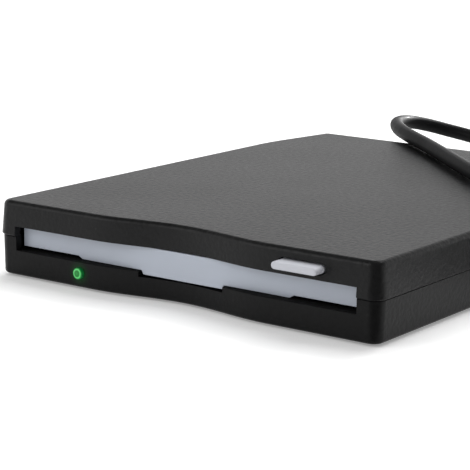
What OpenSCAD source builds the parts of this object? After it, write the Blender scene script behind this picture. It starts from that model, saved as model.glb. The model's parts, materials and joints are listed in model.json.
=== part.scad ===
// External disk drive for 3.5 inch diskettes, with its case, its loading mechanism and its lead.
// Millimetres. +X to the right seen from the slot, +Y from the slot to the back, +Z up.
// The origin is on the table, under the middle of the drive without its lead.

/* [Case] */
// Room between the mechanism's skirts and each side wall
side_room = 1.3; // [0.6:0.1:2]
// Room behind the mechanism for the lead
back_room = 7.2; // [7:0.1:10]
// Height of the case without its feet
case_h = 17.5; // [17.5:0.25:20]
// Height of the lower half of the case
lower_h = 9.4; // [9:0.1:10]
// Thickness of the case's side walls
wall = 1.8; // [1.5:0.1:2]
// Thickness of the case's floor
floor_t = 1.6; // [1.4:0.1:1.7]
// Thickness of the case's roof
roof_t = 1.6; // [1.2:0.1:1.7]
// Radius of the upright corners at the front
front_r = 3.25; // [3:0.25:6]
// Radius of the upright corners at the back
back_r = 2.4; // [2:0.2:4]
// How far each side draws in towards the back
taper_in = 3.6; // [2:0.2:4]
// Length of the stretch that draws in
taper_l = 25.5; // [20:0.5:30]
// Depth of the hollow in the middle of the front
wave_d = 2.9; // [2:0.1:3]
// Half the width of that hollow
wave_half = 24; // [20:1:24]
// How far the upper half stands out over the lower half
part_step = 0.4; // [0.2:0.1:0.5]
// Rounding of the case's top edge
top_r = 1.3; // [0.8:0.1:1.5]
// How far the feet stand out under the case
foot_h = 0.5; // [0.4:0.1:0.8]
// Radius of a foot
foot_r = 4; // [3:0.25:5]

/* [Slot and flap] */
// Play of the diskette in the slot, on each side
slot_play = 1.6; // [1.5:0.05:1.7]
// Height of the slot
slot_h = 5.7; // [5.6:0.05:5.75]
// Height of the slot's lower lip above the table
slot_z = 6.5; // [6.45:0.05:6.55]
// Half the width of the notch in the lower lip
notch_half = 11.6; // [10:0.2:13]
// Depth of that notch
notch_d = 1.3; // [1:0.1:1.4]
// Thickness of the flap
flap_t = 1; // [0.8:0.05:1.05]
// Radius of the flap's pivot pins
flap_pin_r = 0.7; // [0.5:0.05:0.8]
// Angle through which the flap swings inwards
flap_swing = 90; // [60:5:90]

/* [Diskette] */
// Width of the diskette
disk_w = 90; // [90:0.1:90.2]
// Length of the diskette
disk_l = 94; // [93.6:0.1:94]
// Thickness of the diskette
disk_t = 3.3; // [3.2:0.05:3.4]

/* [Eject mechanism] */
// Width of the eject button
button_w = 11.3; // [10:0.1:12]
// Height of the eject button
button_h = 1.7; // [1.6:0.05:1.8]
// How far the button stands out of the front
button_out = 2.9; // [2.7:0.05:3.5]
// Place of the button's middle, to the right of the slot's middle
button_x = 33; // [31:0.5:34]
// Height of the button's middle above the table
button_z = 14.6; // [14.5:0.05:14.65]
// Travel of the button and the eject plate
eject_travel = 2.6; // [2.4:0.05:2.65]
// How far the diskette holder rises when the button goes in
holder_lift = 1.7; // [1.5:0.05:1.75]
// Radius of the holder's lift pins
lift_pin_r = 0.9; // [0.7:0.05:1]
// Sheet thickness of the holder
holder_t = 0.5; // [0.4:0.05:0.6]
// Sheet thickness of the eject plate
plate_t = 0.6; // [0.5:0.05:0.7]
// Sheet thickness of the chassis
chassis_t = 0.8; // [0.7:0.05:0.9]
// Sheet thickness of the top cover
cover_t = 0.5; // [0.4:0.05:0.6]

/* [Spindle] */
// Radius of the rotor
rotor_r = 19.5; // [17:0.5:19.5]
// Radius of the spindle's shaft
shaft_r = 1.25; // [1:0.05:1.4]
// Number of motor coils
coils = 9; // [6:3:9]

/* [Heads] */
// Travel of the head carriage, from the outermost track to the innermost
head_travel = 14.8; // [14:0.1:15]
// Distance from the spindle to the heads at the outermost track
track_zero = 39.5; // [39:0.1:39.6]
// Radius of the guide rods
rod_r = 1.25; // [1:0.05:1.3]
// Radius of the lead screw
screw_r = 1.25; // [1:0.05:1.4]
// Radius of the stepper motor's can
stepper_r = 4.5; // [4:0.1:4.6]
// Angle through which the upper head arm lifts
arm_lift = 7; // [5:0.5:7]

/* [Lamp] */
// Radius of the lamp's lens
lens_r = 1.35; // [1:0.05:1.4]
// Place of the lens, to the left of the slot's middle
lens_x = 27.5; // [24:0.5:32]
// Height of the lens above the table
lens_z = 3.9; // [3.8:0.05:4]

/* [Lead] */
// Diameter of the lead
cord_d = 4; // [3.5:0.1:4]
// Place of the lead's exit, to the right of the middle of the back
exit_x = 4; // [4:0.5:4]
// Length of the tapered part of the strain relief
relief_l = 12; // [12:0.5:12]
// Radius of the coil's outermost turn
coil_r = 26; // [26:0.5:28]
// Number of turns in the coil, wound in two layers
coil_turns = 4.5; // [4.5:1:4.5]

/* [Clearances] */
// Running clearance between a shaft or pin and its bore
run_gap = 0.05; // [0.03:0.01:0.08]
// Clearance of a pin in its slot
slot_gap = 0.12; // [0.1:0.01:0.15]
// Gap between a button or flap and its opening
open_gap = 0.4; // [0.3:0.05:0.45]
// Gap between sheets that slide past each other
sheet_gap = 0.3; // [0.25:0.05:0.35]
// Gap between fixed pieces that are set in each other
seat_gap = 0.1; // [0.05:0.05:0.15]

/* [Hidden] */
$fn = 48;
eps = 0.01;

// Heights
z_bot = foot_h;
z_top = foot_h + case_h;
z_part = foot_h + lower_h;
z_floor = z_bot + floor_t;
z_roof = z_top - roof_t;
slot_top = slot_z + slot_h;
pad_h = 0.3;                                  // pads that carry the chassis
base_z = z_floor + pad_h;                     // underside of the chassis plate
base_top = base_z + chassis_t;
disk_z = slot_z + seat_gap;                   // underside of a loaded diskette
holder_h = disk_t + 1;                        // clear height inside the holder
holder_roof = disk_z + holder_h;
plate_z = base_top + sheet_gap;               // underside of the eject plate
plate_top = plate_z + plate_t;
flange_z = button_z - 0.6;                    // plate's arm over the holder
cover_z = flange_z + plate_t + 0.4;           // underside of the top cover
media_z = disk_z + disk_t / 2;

// Lengths, from the crest of the front
low_d = part_step + 0.1;
media_in = 0.7;                               // label end of a loaded diskette
holder_back = media_in + disk_l + 0.3;
block_in = holder_back + head_travel + 0.6;   // carriage block at the outermost track
nut_l = 2.4;
motor_l = 9.8;
bracket_in = block_in + 0.9 + nut_l + 0.8;
mech_l = bracket_in + plate_t + motor_l + 0.3 + chassis_t;
case_l = mech_l + back_room + wall;

// Depths
y_back = (case_l + button_out) / 2;
y_front = y_back - case_l;
flap_y = y_front + wave_d;                    // front face of the flap, flush with the hollow
flap_axis_y = flap_y + 0.9;
flap_axis_z = slot_top + 1;
tab_z = slot_z - notch_d + 0.55;              // lowest edge of the flap
flap_reach = flap_axis_z - tab_z;
disk_y = y_front + media_in;
spindle_y = disk_y + disk_l / 2;
head_y = spindle_y + track_zero;
holder_y = flap_axis_y + flap_reach + 0.6;
holder_end = y_front + holder_back;
chassis_y = flap_y + 6.3;
block_y = y_front + block_in;
block_end = block_y + 6;
arm_y = block_y + 4.3;                        // pivot of the upper head arm
arm_z = holder_roof + 1.05;
taper_y = y_back - taper_l;

// Widths
hold_in = disk_w / 2 + 0.6;
hold_out = hold_in + holder_t;
plate_in = hold_out + open_gap;
plate_out = plate_in + plate_t;
chassis_in = plate_out + sheet_gap;
chassis_out = chassis_in + chassis_t;
case_w = 2 * (chassis_out + cover_t + side_room + wall + low_d);
slot_half = disk_w / 2 + slot_play;
flap_half = slot_half - 0.35;

// Lift pins, two on each side
pin_ys = [spindle_y - 26, spindle_y + 36];
pin_z = disk_z + holder_h / 2 - 0.25;
ramp = atan(holder_lift / eject_travel);

// Guide studs, chassis screws and feet
stud_x = (hold_in + plate_in) / 2 - 4.1;
stud_ys = [spindle_y - 22, spindle_y + 33];
stud_r = 1.2;
screw_x = chassis_in - 4.2;
screw_ys = [chassis_y + 3.6, head_y + 18.5];
foot_x = case_w / 2 - 16;
foot_ys = [y_front + 13, y_back - 16];
case_screw_x = case_w / 2 - 11;
case_screw_y = y_back - wall - 3.6;

// Head carriage
rod_x = 10.5;
rod_z = base_top + 1.75;
arm_bot = base_top + 0.7;
lug_w = 2.1;                                  // bushes beside their rod
lug_top = rod_z + rod_r + 0.25;
stepper_x = 16;
screw_z = base_top + stepper_r + 0.3;
nut_y = block_y + 0.9;
bracket_y = y_front + bracket_in;
screw_start = holder_end + 0.4;
chassis_end = y_front + mech_l;

function dot(a, b) = a * b;
function unit(v) = v / norm(v);

// Front of the case: a flat crest with one smooth hollow in the middle
function front_y(x) =
  y_front + (abs(x) < wave_half ? wave_d * (1 + cos(180 * x / wave_half)) / 2 : 0);

// Half the width of the case at a depth y, drawn in by a smooth bend towards the back
bend = 5;
function side_x(y) =
  let (s = y - taper_y + bend, slope = taper_in / taper_l)
    case_w / 2 - (s < 0 ? 0 : s < 2 * bend ? slope * s * s / (4 * bend) : slope * (s - bend));

// Outline of the case, every side moved in by d
function outline(d) =
  let (
    half = case_w / 2 - d,
    rf = max(front_r - d, 0.5),
    rb = max(back_r - d, 0.5),
    yb = y_back - d,
    xb = side_x(y_back) - d,
    right = concat(
      [for (i = [0:12]) let (x = i * wave_half / 12) [x, front_y(x) + d]],
      [for (i = [0:6]) [half - rf + rf * sin(15 * i), y_front + d + rf - rf * cos(15 * i)]],
      [for (i = [0:4]) let (y = taper_y - bend + i * bend / 2) [side_x(y) - d, y]],
      [for (i = [0:5]) [xb - rb + rb * cos(8 + 16.4 * i), yb - rb + rb * sin(8 + 16.4 * i)]]
    )
  ) concat(right, [for (i = [len(right) - 1:-1:1]) [-right[i][0], right[i][1]]]);

// Solid through outlines at rising heights; levels are [height, inset]
module loft(levels) {
  rings = [for (l = levels) [for (p = outline(l[1])) [p[0], p[1], l[0]]]];
  n = len(rings[0]);
  m = len(rings);
  polyhedron(
    points = concat([for (r = rings, p = r) p], [[0, 0, levels[0][0]], [0, 0, levels[m - 1][0]]]),
    faces = concat(
      [for (i = [0:n - 1]) [m * n, i, (i + 1) % n]],
      [for (i = [0:n - 1]) [m * n + 1, (m - 1) * n + (i + 1) % n, (m - 1) * n + i]],
      [for (k = [0:m - 2], i = [0:n - 1])
        let (a = k * n + i, b = k * n + (i + 1) % n) [a, a + n, b]],
      [for (k = [0:m - 2], i = [0:n - 1])
        let (b = k * n + (i + 1) % n, a = k * n + i) [b, a + n, b + n]]
    ),
    convexity = 8
  );
}

// Quarter-round edge of radius r that turns in at the height z; up is 1 or -1
function edge_round(z, d, r, up) =
  [for (i = [0:4]) [z + up * r * sin(22.5 * i), d + r * (1 - cos(22.5 * i))]];

// Plate in the XY plane between two corners
module slab(x0, x1, y0, y1, z0, z1) {
  translate([x0, y0, z0]) cube([x1 - x0, y1 - y0, z1 - z0]);
}

// Both sides of the drive
module both_sides() {
  children();
  mirror([1, 0, 0]) children();
}

// Cylinder along +X or +Y from a point
module rod_along_x(p, r, l) {
  translate(p) rotate([0, 90, 0]) cylinder(r = r, h = l);
}
module rod_along_y(p, r, l) {
  translate(p) rotate([-90, 0, 0]) cylinder(r = r, h = l);
}

// Flat bar with round ends, cut through sheet along X: from a to b in the YZ plane
module slot_along_x(x0, x1, a, b, r) {
  d = b - a;
  rod_along_x([x0, a[0], a[1]], r, x1 - x0);
  rod_along_x([x0, b[0], b[1]], r, x1 - x0);
  translate([x0, a[0], a[1]]) rotate([atan2(d[1], d[0]), 0, 0])
    translate([0, 0, -r]) cube([x1 - x0, norm(d), 2 * r]);
}

// Bar with round ends along X, standing from y0 to y1
module pill(x, z, w, h, y0, y1) {
  r = h / 2;
  for (s = [-1, 1]) rod_along_y([x + s * (w / 2 - r), y0, z], r, y1 - y0);
  slab(x - w / 2 + r, x + w / 2 - r, y0, y1, z - r, z + r);
}

// ---- Case ----

draft_top = 0.5;
seam = 0.25;

module slot_opening(z0, z1) {
  slab(-slot_half, slot_half, y_front - 1, flap_axis_y + 2.2, z0, z1);
}

module upper_case() {
  d_top = draft_top;
  color([0.13, 0.13, 0.14]) {
    difference() {
      loft(concat([[z_part, seam], [z_part + seam, 0]],
                  edge_round(z_top - top_r, d_top, top_r, 1)));
      loft([[z_part - eps, wall + 0.05], [z_roof, wall + d_top]]);
      slot_opening(z_part - 1, slot_top);
      // Rebate behind the hollow, where the flap's upper edge swings
      slab(-wave_half + 2, wave_half - 2, flap_axis_y + 0.3, flap_axis_y + 2.2,
           slot_top - 1, flap_axis_z + 0.35);
      pill(button_x, button_z, button_w + 2 * open_gap, button_h + 2 * open_gap,
           y_front - 1, y_front + wall + 1);
      rod_along_y([exit_x, y_back - wall - 1, z_part], relief_neck_r + seat_gap, wall + 2);
    }
    // Pivot brackets for the flap, hanging from the roof beside the slot
    both_sides() difference() {
      slab(slot_half, slot_half + 1.7, flap_axis_y - 1.5, flap_axis_y + 1.5,
           flap_axis_z - 1.3, z_roof + eps);
      rod_along_x([flap_half, flap_axis_y, flap_axis_z], flap_pin_r + run_gap, 3);
    }
    // Screw bosses at the back
    both_sides() difference() {
      translate([case_screw_x, case_screw_y, z_part]) cylinder(r = 2.6, h = z_roof - z_part + eps);
      translate([case_screw_x, case_screw_y, z_part - 1])
        cylinder(r = case_screw_r + run_gap, h = case_screw_l - 3);
    }
    // Ribs that hold the mechanism down, beside the window of its cover
    both_sides() for (x = [20, 36])
      slab(x, x + 1.2, spindle_y - 20, spindle_y + 44, cover_z + cover_t + seat_gap, z_roof + eps);
    // Tongues that hook behind the lower half's side walls
    both_sides() for (y = [spindle_y - 30, spindle_y, spindle_y + 30])
      slab(case_w / 2 - wall - part_step - 0.75, case_w / 2 - wall - part_step - 0.1,
           y, y + 10, z_part - 1.4, z_part + 1.2);
    both_sides() for (y = [spindle_y - 30, spindle_y, spindle_y + 30])
      slab(case_w / 2 - wall - part_step - 0.75, case_w / 2 - wall, y, y + 10,
           z_part + 0.05, z_part + 1.2);
  }
}

low_round = 0.9;

// Prism of the outline, every side moved in by d; in front it stops at the depth y_min
module prism(d, z0, z1, y_min) {
  translate([0, 0, z0]) linear_extrude(z1 - z0)
    polygon([for (p = outline(d)) [p[0], max(p[1], y_min)]]);
}

// Recesses in the underside for the feet and the screw heads
module floor_holes() {
  for (x = [-foot_x, foot_x], y = foot_ys)
    translate([x, y, z_bot - 1]) cylinder(r = foot_r + seat_gap, h = 1 + foot_sink);
  for (x = [-screw_x, screw_x], y = screw_ys) {
    translate([x, y, z_bot - 1]) cylinder(r = 2.1, h = 1.9);
    translate([x, y, z_bot - 1]) cylinder(r = 1.3, h = floor_t + 2);
  }
  both_sides() translate([case_screw_x, case_screw_y, z_bot - 1]) cylinder(r = 2, h = floor_t + 2);
}

module lower_case() {
  z_edge = z_bot + low_round;
  color([0.12, 0.12, 0.13]) {
    // Rounded bottom edge and walls, with a ledge left standing under the flap
    difference() {
      loft(concat([for (i = [4:-1:0]) edge_round(z_edge, low_d + 0.1, low_round, -1)[i]],
                  [[z_part - seam, part_step], [z_part, part_step + seam]]));
      prism(low_d + wall, z_floor, slot_z + 0.5, ledge_y);
      prism(low_d + wall, slot_z, z_part + 1, y_front);
      slot_opening(slot_z, z_part + 1);
      // Finger notch in the lower lip
      slab(-notch_half, notch_half, y_front - 1, ledge_y + 1, slot_z - notch_d, slot_z + 1);
      rod_along_y([-lens_x, y_front - 1, lens_z], lens_r + seat_gap, ledge_y - y_front + 2);
      rod_along_y([exit_x, y_back - wall - 2, z_part], relief_neck_r + seat_gap, wall + 4);
      floor_holes();
    }
    // Pads under the chassis plate, round its screws
    for (x = [-screw_x, screw_x], y = screw_ys) difference() {
      translate([x, y, z_floor - 0.2]) cylinder(r = 3, h = pad_h + 0.2);
      translate([x, y, z_floor - 1]) cylinder(r = 1.3, h = pad_h + 2);
    }
    // Pads under the front board
    for (x = [-40, -20, 20, 40])
      slab(x - 1, x + 1, board_y, board_y + board_l, z_floor - 0.2, base_z);
    // Screw posts at the back
    both_sides() translate([case_screw_x, case_screw_y, 0]) difference() {
      translate([0, 0, z_floor - 0.2]) cylinder(r = 2.7, h = z_part - z_floor + 0.2);
      translate([0, 0, z_floor - 1]) cylinder(r = 2, h = z_bot + case_screw_sink - z_floor + 1);
      cylinder(r = case_screw_r + 0.2, h = z_part + 1);
    }
  }
}

case_screw_r = 0.95;
case_screw_sink = 2.2;
case_screw_l = 10.5;
module case_screws() {
  color([0.3, 0.3, 0.32]) both_sides()
    translate([case_screw_x, case_screw_y, z_bot + case_screw_sink]) {
      translate([0, 0, -1.2]) difference() {
        cylinder(r = 1.8, h = 1.2);
        translate([-1.2, -0.2, -eps]) cube([2.4, 0.4, 0.5]);
        translate([-0.2, -1.2, -eps]) cube([0.4, 2.4, 0.5]);
      }
      translate([0, 0, -eps]) cylinder(r = case_screw_r, h = case_screw_l);
    }
}

foot_sink = 0.4;
module rubber_feet() {
  color([0.08, 0.08, 0.08]) for (x = [-foot_x, foot_x], y = foot_ys)
    translate([x, y, 0]) rotate_extrude()
      polygon([[0, 0], [foot_r - 0.2, 0], [foot_r, 0.2], [foot_r, foot_h + foot_sink],
               [0, foot_h + foot_sink]]);
}

// ---- Flap ----

// Flap seen from the front: steps along its lower edge, ears at its ends
module flap() {
  top = slot_top - 0.15;
  tall = flap_axis_z - 0.5;
  end_z = slot_z + 0.8;
  mid_z = slot_z + 0.15;
  tab = notch_half - 0.3;
  half_outline = [
    [0, tab_z], [tab - 0.5, tab_z], [tab, mid_z], [28.5, mid_z], [29.6, end_z],
    [flap_half, end_z], [flap_half, tall], [wave_half + 1, tall], [wave_half + 1, top], [0, top]
  ];
  color([0.66, 0.68, 0.72]) {
    difference() {
      translate([0, flap_y + flap_t, 0]) rotate([90, 0, 0]) linear_extrude(flap_t) {
        polygon(half_outline);
        mirror([1, 0, 0]) polygon(half_outline);
      }
      // Room for the return spring
      slab(-flap_half + 1.5, -flap_half + 4.4, flap_y - 1, flap_y + 2, flap_axis_z - 1.4, flap_axis_z);
    }
    both_sides() {
      slab(flap_half - 1.5, flap_half, flap_y, flap_y + 1.6, tall - 1, flap_axis_z);
      rod_along_x([flap_half - 1.5, flap_axis_y, flap_axis_z], 0.9, 1.5);
      rod_along_x([flap_half - 0.5, flap_axis_y, flap_axis_z], flap_pin_r, 2.4);
    }
    // Stub that carries the return spring
    rod_along_x([-flap_half + 1.4, flap_axis_y, flap_axis_z], 0.6, 2.6);
  }
}

// Points of a helix of mean radius r along +X
function helix(r, l, turns, per_turn) =
  [for (i = [0:turns * per_turn])
    let (a = 360 * i / per_turn) [l * i / (turns * per_turn), r * cos(a), r * sin(a)]];

module flap_spring() {
  turns = 4;
  color([0.75, 0.75, 0.77]) translate([-flap_half + 1.75, flap_axis_y, flap_axis_z])
    tube(helix(0.95, 2, turns, 8), 0.13, 5);
}

// ---- Eject mechanism ----

button_neck = 0.4;
stem_z0 = flange_z - 0.35;
stem_z1 = button_z + button_h / 2;
module eject_button() {
  x = button_x;
  r = button_h / 2;
  y0 = y_front - button_out;
  y1 = y_front + button_neck;
  stem_y = flap_axis_y + 1.4;
  lip_y = y_front + wall + draft_top + sheet_gap;
  round = 0.45;
  color([0.82, 0.83, 0.86]) difference() {
    union() {
      // Knob: rounded front edge, turned at both ends
      for (s = [-1, 1]) translate([x + s * (button_w / 2 - r), y0, button_z]) rotate([-90, 0, 0])
        rotate_extrude() polygon(concat(
          [[0, 0]],
          [for (i = [0:6]) [r - round + round * sin(15 * i), round - round * cos(15 * i)]],
          [[r, y1 - y0], [0, y1 - y0]]));
      translate([x - button_w / 2 + r, 0, 0]) rotate([90, 0, 90]) linear_extrude(button_w - 2 * r)
        polygon(concat(
          [for (i = [0:6]) [y0 + round - round * cos(15 * i), button_z + r - round + round * sin(15 * i)]],
          [[y1, button_z + r], [y1, button_z - r]],
          [for (i = [6:-1:0]) [y0 + round - round * cos(15 * i), button_z - r + round - round * sin(15 * i)]]));
      // Stem and the lip that stops it behind the wall
      slab(x - button_w / 2 + 0.8, x + button_w / 2 - 0.8, y1 - eps, stem_y,
           stem_z0, stem_z1);
      slab(x - button_w / 2 - 1.2, x + button_w / 2 + 1.2, lip_y, lip_y + 0.8,
           stem_z0, stem_z1 + 0.6);
    }
    // Pocket for the eject plate's tongue
    slab(x - 2.5 - seat_gap, x + 2.5 + seat_gap, tongue_y - seat_gap, stem_y + 1,
         flange_z - 0.02, flange_z + plate_t + 0.02);
  }
}

tongue_y = flap_axis_y - 1.4;
strip_in = 38;
tab_ys = [chassis_y + 8.4, spindle_y - 6];
module eject_plate() {
  y0 = chassis_y + 1.5;
  y1 = pin_ys[1] + 8;
  cross_y = y0 + 7;
  wall_top = pin_z + holder_lift + lift_pin_r + 0.9;
  color([0.72, 0.73, 0.74]) {
    difference() {
      union() {
        // Strips along both sides, joined across the front
        both_sides() slab(strip_in, plate_out, y0, y1, plate_z, plate_top);
        slab(-strip_in - 1, strip_in + 1, y0, cross_y, plate_z, plate_top);
        // Side walls with the ramps
        both_sides() slab(plate_in, plate_out, y0, y1, plate_z, wall_top);
        // Arm over the holder to the button
        slab(plate_in, plate_out, y0, y0 + 9, plate_z, flange_z + plate_t);
        slab(button_x - 4, plate_out, y0, y0 + 9, flange_z, flange_z + plate_t);
        slab(button_x - 2.5, button_x + 2.5, tongue_y, y0 + 1, flange_z, flange_z + plate_t);
      }
      // Ramps: each pin climbs as the plate goes in
      both_sides() for (y = pin_ys)
        slot_along_x(plate_in - 1, plate_out + 1, [y + 0.2 * cos(ramp), pin_z - 0.2 * sin(ramp)],
                     [y - eject_travel - 0.2 * cos(ramp), pin_z + holder_lift + 0.2 * sin(ramp)],
                     lift_pin_r + slot_gap);
      // Slots round the guide studs
      both_sides() for (y = stud_ys) {
        for (s = [0, -eject_travel]) translate([stud_x, y + s, plate_z - 1])
          cylinder(r = stud_r + slot_gap, h = plate_t + 2);
        slab(stud_x - stud_r - slot_gap, stud_x + stud_r + slot_gap, y - eject_travel, y,
             plate_z - 1, plate_top + 1);
      }
      // Windows that lighten the strip across the front
      for (x = [-26, -8, 10]) slab(x, x + 16, y0 + 2, cross_y - 2, plate_z - 1, plate_top + 1);
    }
    // Tabs that push on the return springs
    both_sides() slab(spring_x - 1.6, spring_x + 1.6, cross_y - plate_t, cross_y,
                      plate_z, spring_z + 1);
  }
}

spring_x = 33;
spring_z = plate_z + 1.5;
spring_y = chassis_y + 8.5 + sheet_gap;
spring_l = 22;
module eject_springs() {
  turns = 10;
  color([0.7, 0.7, 0.72]) both_sides() translate([spring_x, spring_y, spring_z]) rotate([0, 0, 90])
    tube(helix(1, spring_l, turns, 8), 0.2, 5);
}

module guide_studs() {
  color([0.75, 0.75, 0.76]) both_sides() for (y = stud_ys) translate([stud_x, y, 0]) {
    translate([0, 0, base_top]) cylinder(r = stud_r, h = plate_top + 0.15 - base_top);
    translate([0, 0, plate_top + 0.15]) cylinder(r = 2, h = 0.5);
  }
}

module disk_holder() {
  rail = 4;
  color([0.78, 0.79, 0.8]) difference() {
    union() {
      // Roof, sides and the rails under the diskette's edges
      slab(-hold_out, hold_out, holder_y, holder_end, holder_roof, holder_roof + holder_t);
      both_sides() slab(hold_in, hold_out, holder_y, holder_end, disk_z - holder_t,
                        holder_roof + holder_t);
      both_sides() slab(hold_in - rail, hold_out, holder_y, holder_end, disk_z - holder_t, disk_z);
    }
    // Window for the upper head, open at the back, with a rounded front end
    slab(-8, 8, spindle_y + 22, holder_end + 1, holder_roof - 1, holder_roof + 1);
    translate([0, spindle_y + 22, holder_roof - 1]) cylinder(r = 8, h = 2);
    // Round and long cut-outs that such a pressing has
    for (s = [-1, 1]) {
      translate([24 * s, spindle_y - 12, holder_roof - 1]) cylinder(r = 7, h = 2);
      slab(s * 24 - 6, s * 24 + 6, spindle_y + 12, spindle_y + 34, holder_roof - 1, holder_roof + 1);
    }
    // Holes for the lift pins
    both_sides() for (y = pin_ys) rod_along_x([hold_in - 1, y, pin_z], lift_pin_r, 3);
  }
}

module lift_pins() {
  color([0.6, 0.6, 0.62]) both_sides() for (y = pin_ys)
    rod_along_x([hold_in, y, pin_z], lift_pin_r, chassis_out - hold_in);
}

// ---- Chassis ----

module chassis() {
  side_y0 = chassis_y + 1;
  side_y1 = taper_y + 0.5;
  rear_half = chassis_out - 2.4;
  plan = [
    [-chassis_out, chassis_y], [chassis_out, chassis_y], [chassis_out, side_y1],
    [rear_half, chassis_end], [-rear_half, chassis_end], [-chassis_out, side_y1]
  ];
  color([0.74, 0.75, 0.77]) difference() {
    union() {
      translate([0, 0, base_z]) linear_extrude(chassis_t) polygon(plan);
      both_sides() slab(chassis_in, chassis_out, side_y0, side_y1, base_z, cover_z);
      slab(-rear_half, stepper_x - 7, chassis_end - chassis_t, chassis_end, base_z, cover_z);
      slab(stepper_x - 8, stepper_x + 8, chassis_end - chassis_t, chassis_end, base_z, screw_z + 1);
      // Ears that hold the guide rods and the free end of the lead screw
      for (x = [-rod_x, rod_x])
        slab(x - 2.2, x + 2.2, rod_y - chassis_t, rod_y, base_z, rod_z + rod_r + 0.15);
      slab(stepper_x - 3, stepper_x + 3, screw_start, screw_start + chassis_t, base_z, screw_z + 2.4);
      // Tabs behind the return springs
      both_sides() slab(spring_x - 1.8, spring_x + 1.8, spring_y + spring_l + sheet_gap,
                        spring_y + spring_l + sheet_gap + chassis_t, base_z, spring_z + 1.2);
      // Standoffs for the two boards
      for (p = concat(main_posts, bridge_posts)) translate([p[0], p[1], base_z]) {
        cylinder(r = 1.8, h = board_z - base_z);
        cylinder(r = 1, h = board_z + board_t + 0.3 - base_z);
      }
    }
    // Upright slots for the lift pins
    both_sides() for (y = pin_ys) slot_along_x(chassis_in - 0.5, chassis_out + 1,
        [y, pin_z - 0.1], [y, pin_z + holder_lift + 0.1], lift_pin_r + slot_gap);
    // Bearing seat, screw holes, rod and lead screw bores
    translate([0, spindle_y, base_z - 1]) cylinder(r = bearing_r, h = chassis_t + 2);
    for (x = [-screw_x, screw_x], y = screw_ys)
      translate([x, y, base_z - 1]) cylinder(r = chassis_screw_r + run_gap, h = chassis_t + 2);
    for (x = [-rod_x, rod_x]) rod_along_y([x, rod_y - 2, rod_z], rod_r, 4);
    for (x = [-rod_x, rod_x]) rod_along_y([x, chassis_end - 2, rod_z], rod_r, 4);
    rod_along_y([stepper_x, screw_start - 1, screw_z], screw_r + run_gap, 3);
    // Lightening holes in the plate
    for (s = [-1, 1]) {
      slab(s * 33 - 3.5, s * 33 + 3.5, spindle_y + 16, spindle_y + 34, base_z - 1, base_top + 1);
      translate([26 * s, spindle_y - 28, base_z - 1]) cylinder(r = 3.5, h = chassis_t + 2);
    }
    slab(-4.5, 4.5, spindle_y + 27, spindle_y + 58, base_z - 1, base_top + 1);
  }
}

chassis_screw_r = 1;
module chassis_screws() {
  color([0.3, 0.3, 0.32]) for (x = [-screw_x, screw_x], y = screw_ys) translate([x, y, z_bot]) {
    difference() {
      translate([0, 0, 0.1]) cylinder(r = 1.9, h = 0.8);
      translate([-1.2, -0.2, 0]) cube([2.4, 0.4, 0.4]);
      translate([-0.2, -1.2, 0]) cube([0.4, 2.4, 0.4]);
    }
    translate([0, 0, 0.8]) cylinder(r = chassis_screw_r, h = base_top - z_bot - 0.8);
  }
}

module top_cover() {
  y0 = chassis_y + 2.5;
  rear_half = chassis_out - 2.4;
  color([0.76, 0.77, 0.79]) difference() {
    union() {
      translate([0, 0, cover_z]) linear_extrude(cover_t) polygon([
        [-chassis_out, y0], [chassis_out, y0], [chassis_out, taper_y],
        [rear_half, chassis_end], [-rear_half, chassis_end], [-chassis_out, taper_y]
      ]);
      // Skirts outside the chassis walls
      both_sides() for (y = [spindle_y - 16, spindle_y + 6])
        slab(chassis_out, chassis_out + cover_t, y, y + 16, cover_z - 3.4, cover_z + cover_t);
    }
    // Window over the upper head arm
    slab(-9, 9, head_y - head_travel - 4, arm_y - 6, cover_z - 1, cover_z + cover_t + 1);
    translate([0, head_y - head_travel - 4, cover_z - 1]) cylinder(r = 9, h = cover_t + 2);
    for (s = [-1, 1]) translate([s * 27, spindle_y, cover_z - 1]) cylinder(r = 4, h = cover_t + 2);
  }
}

post = [-30, holder_end + 4];
module trigger_post() {
  color([0.75, 0.75, 0.76]) translate([post[0], post[1], 0]) {
    translate([0, 0, base_top]) cylinder(r = 2.2, h = 1);
    translate([0, 0, base_top + 1 - eps]) cylinder(r = 1.1, h = media_z + 1.6 - base_top);
    translate([0, 0, media_z + 2.2]) cylinder(r = 1.7, h = 0.5);
  }
}

module trigger_lever() {
  z0 = media_z - 0.9;
  color([0.8, 0.8, 0.76]) translate([post[0], post[1], 0]) difference() {
    union() {
      translate([0, 0, base_top + 1.3]) cylinder(r = 2.3, h = media_z + 1.9 - base_top - 1.3);
      slab(0, 12, -1.6, 1.6, z0, z0 + 1.6);
      translate([12, 0, z0]) cylinder(r = 1.6, h = 1.6);
      slab(-6.5, 0, -1.2, 1.2, z0, z0 + 1.6);
      translate([-6.5, 0, z0]) cylinder(r = 1.2, h = 1.6);
    }
    translate([0, 0, base_top]) cylinder(r = 1.1 + run_gap, h = 10);
  }
}

// ---- Spindle ----

bearing_r = 2.4;
bearing_top = base_top + 2;
stator_t = 0.6;
rotor_z = bearing_top + 0.1;
module spindle_bearing() {
  color([0.7, 0.58, 0.36]) translate([0, spindle_y, 0]) difference() {
    translate([0, 0, base_z]) cylinder(r = bearing_r, h = bearing_top - base_z);
    translate([0, 0, base_z - 1]) cylinder(r = shaft_r + run_gap, h = bearing_top);
  }
}

module stator_board() {
  color([0.2, 0.38, 0.25]) translate([0, spindle_y, base_top]) difference() {
    union() {
      cylinder(r = rotor_r + 2.5, h = stator_t);
      slab(-20, -6, 0, 23, 0, stator_t);
    }
    translate([0, 0, -1]) cylinder(r = bearing_r + seat_gap, h = 3);
  }
}

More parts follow.
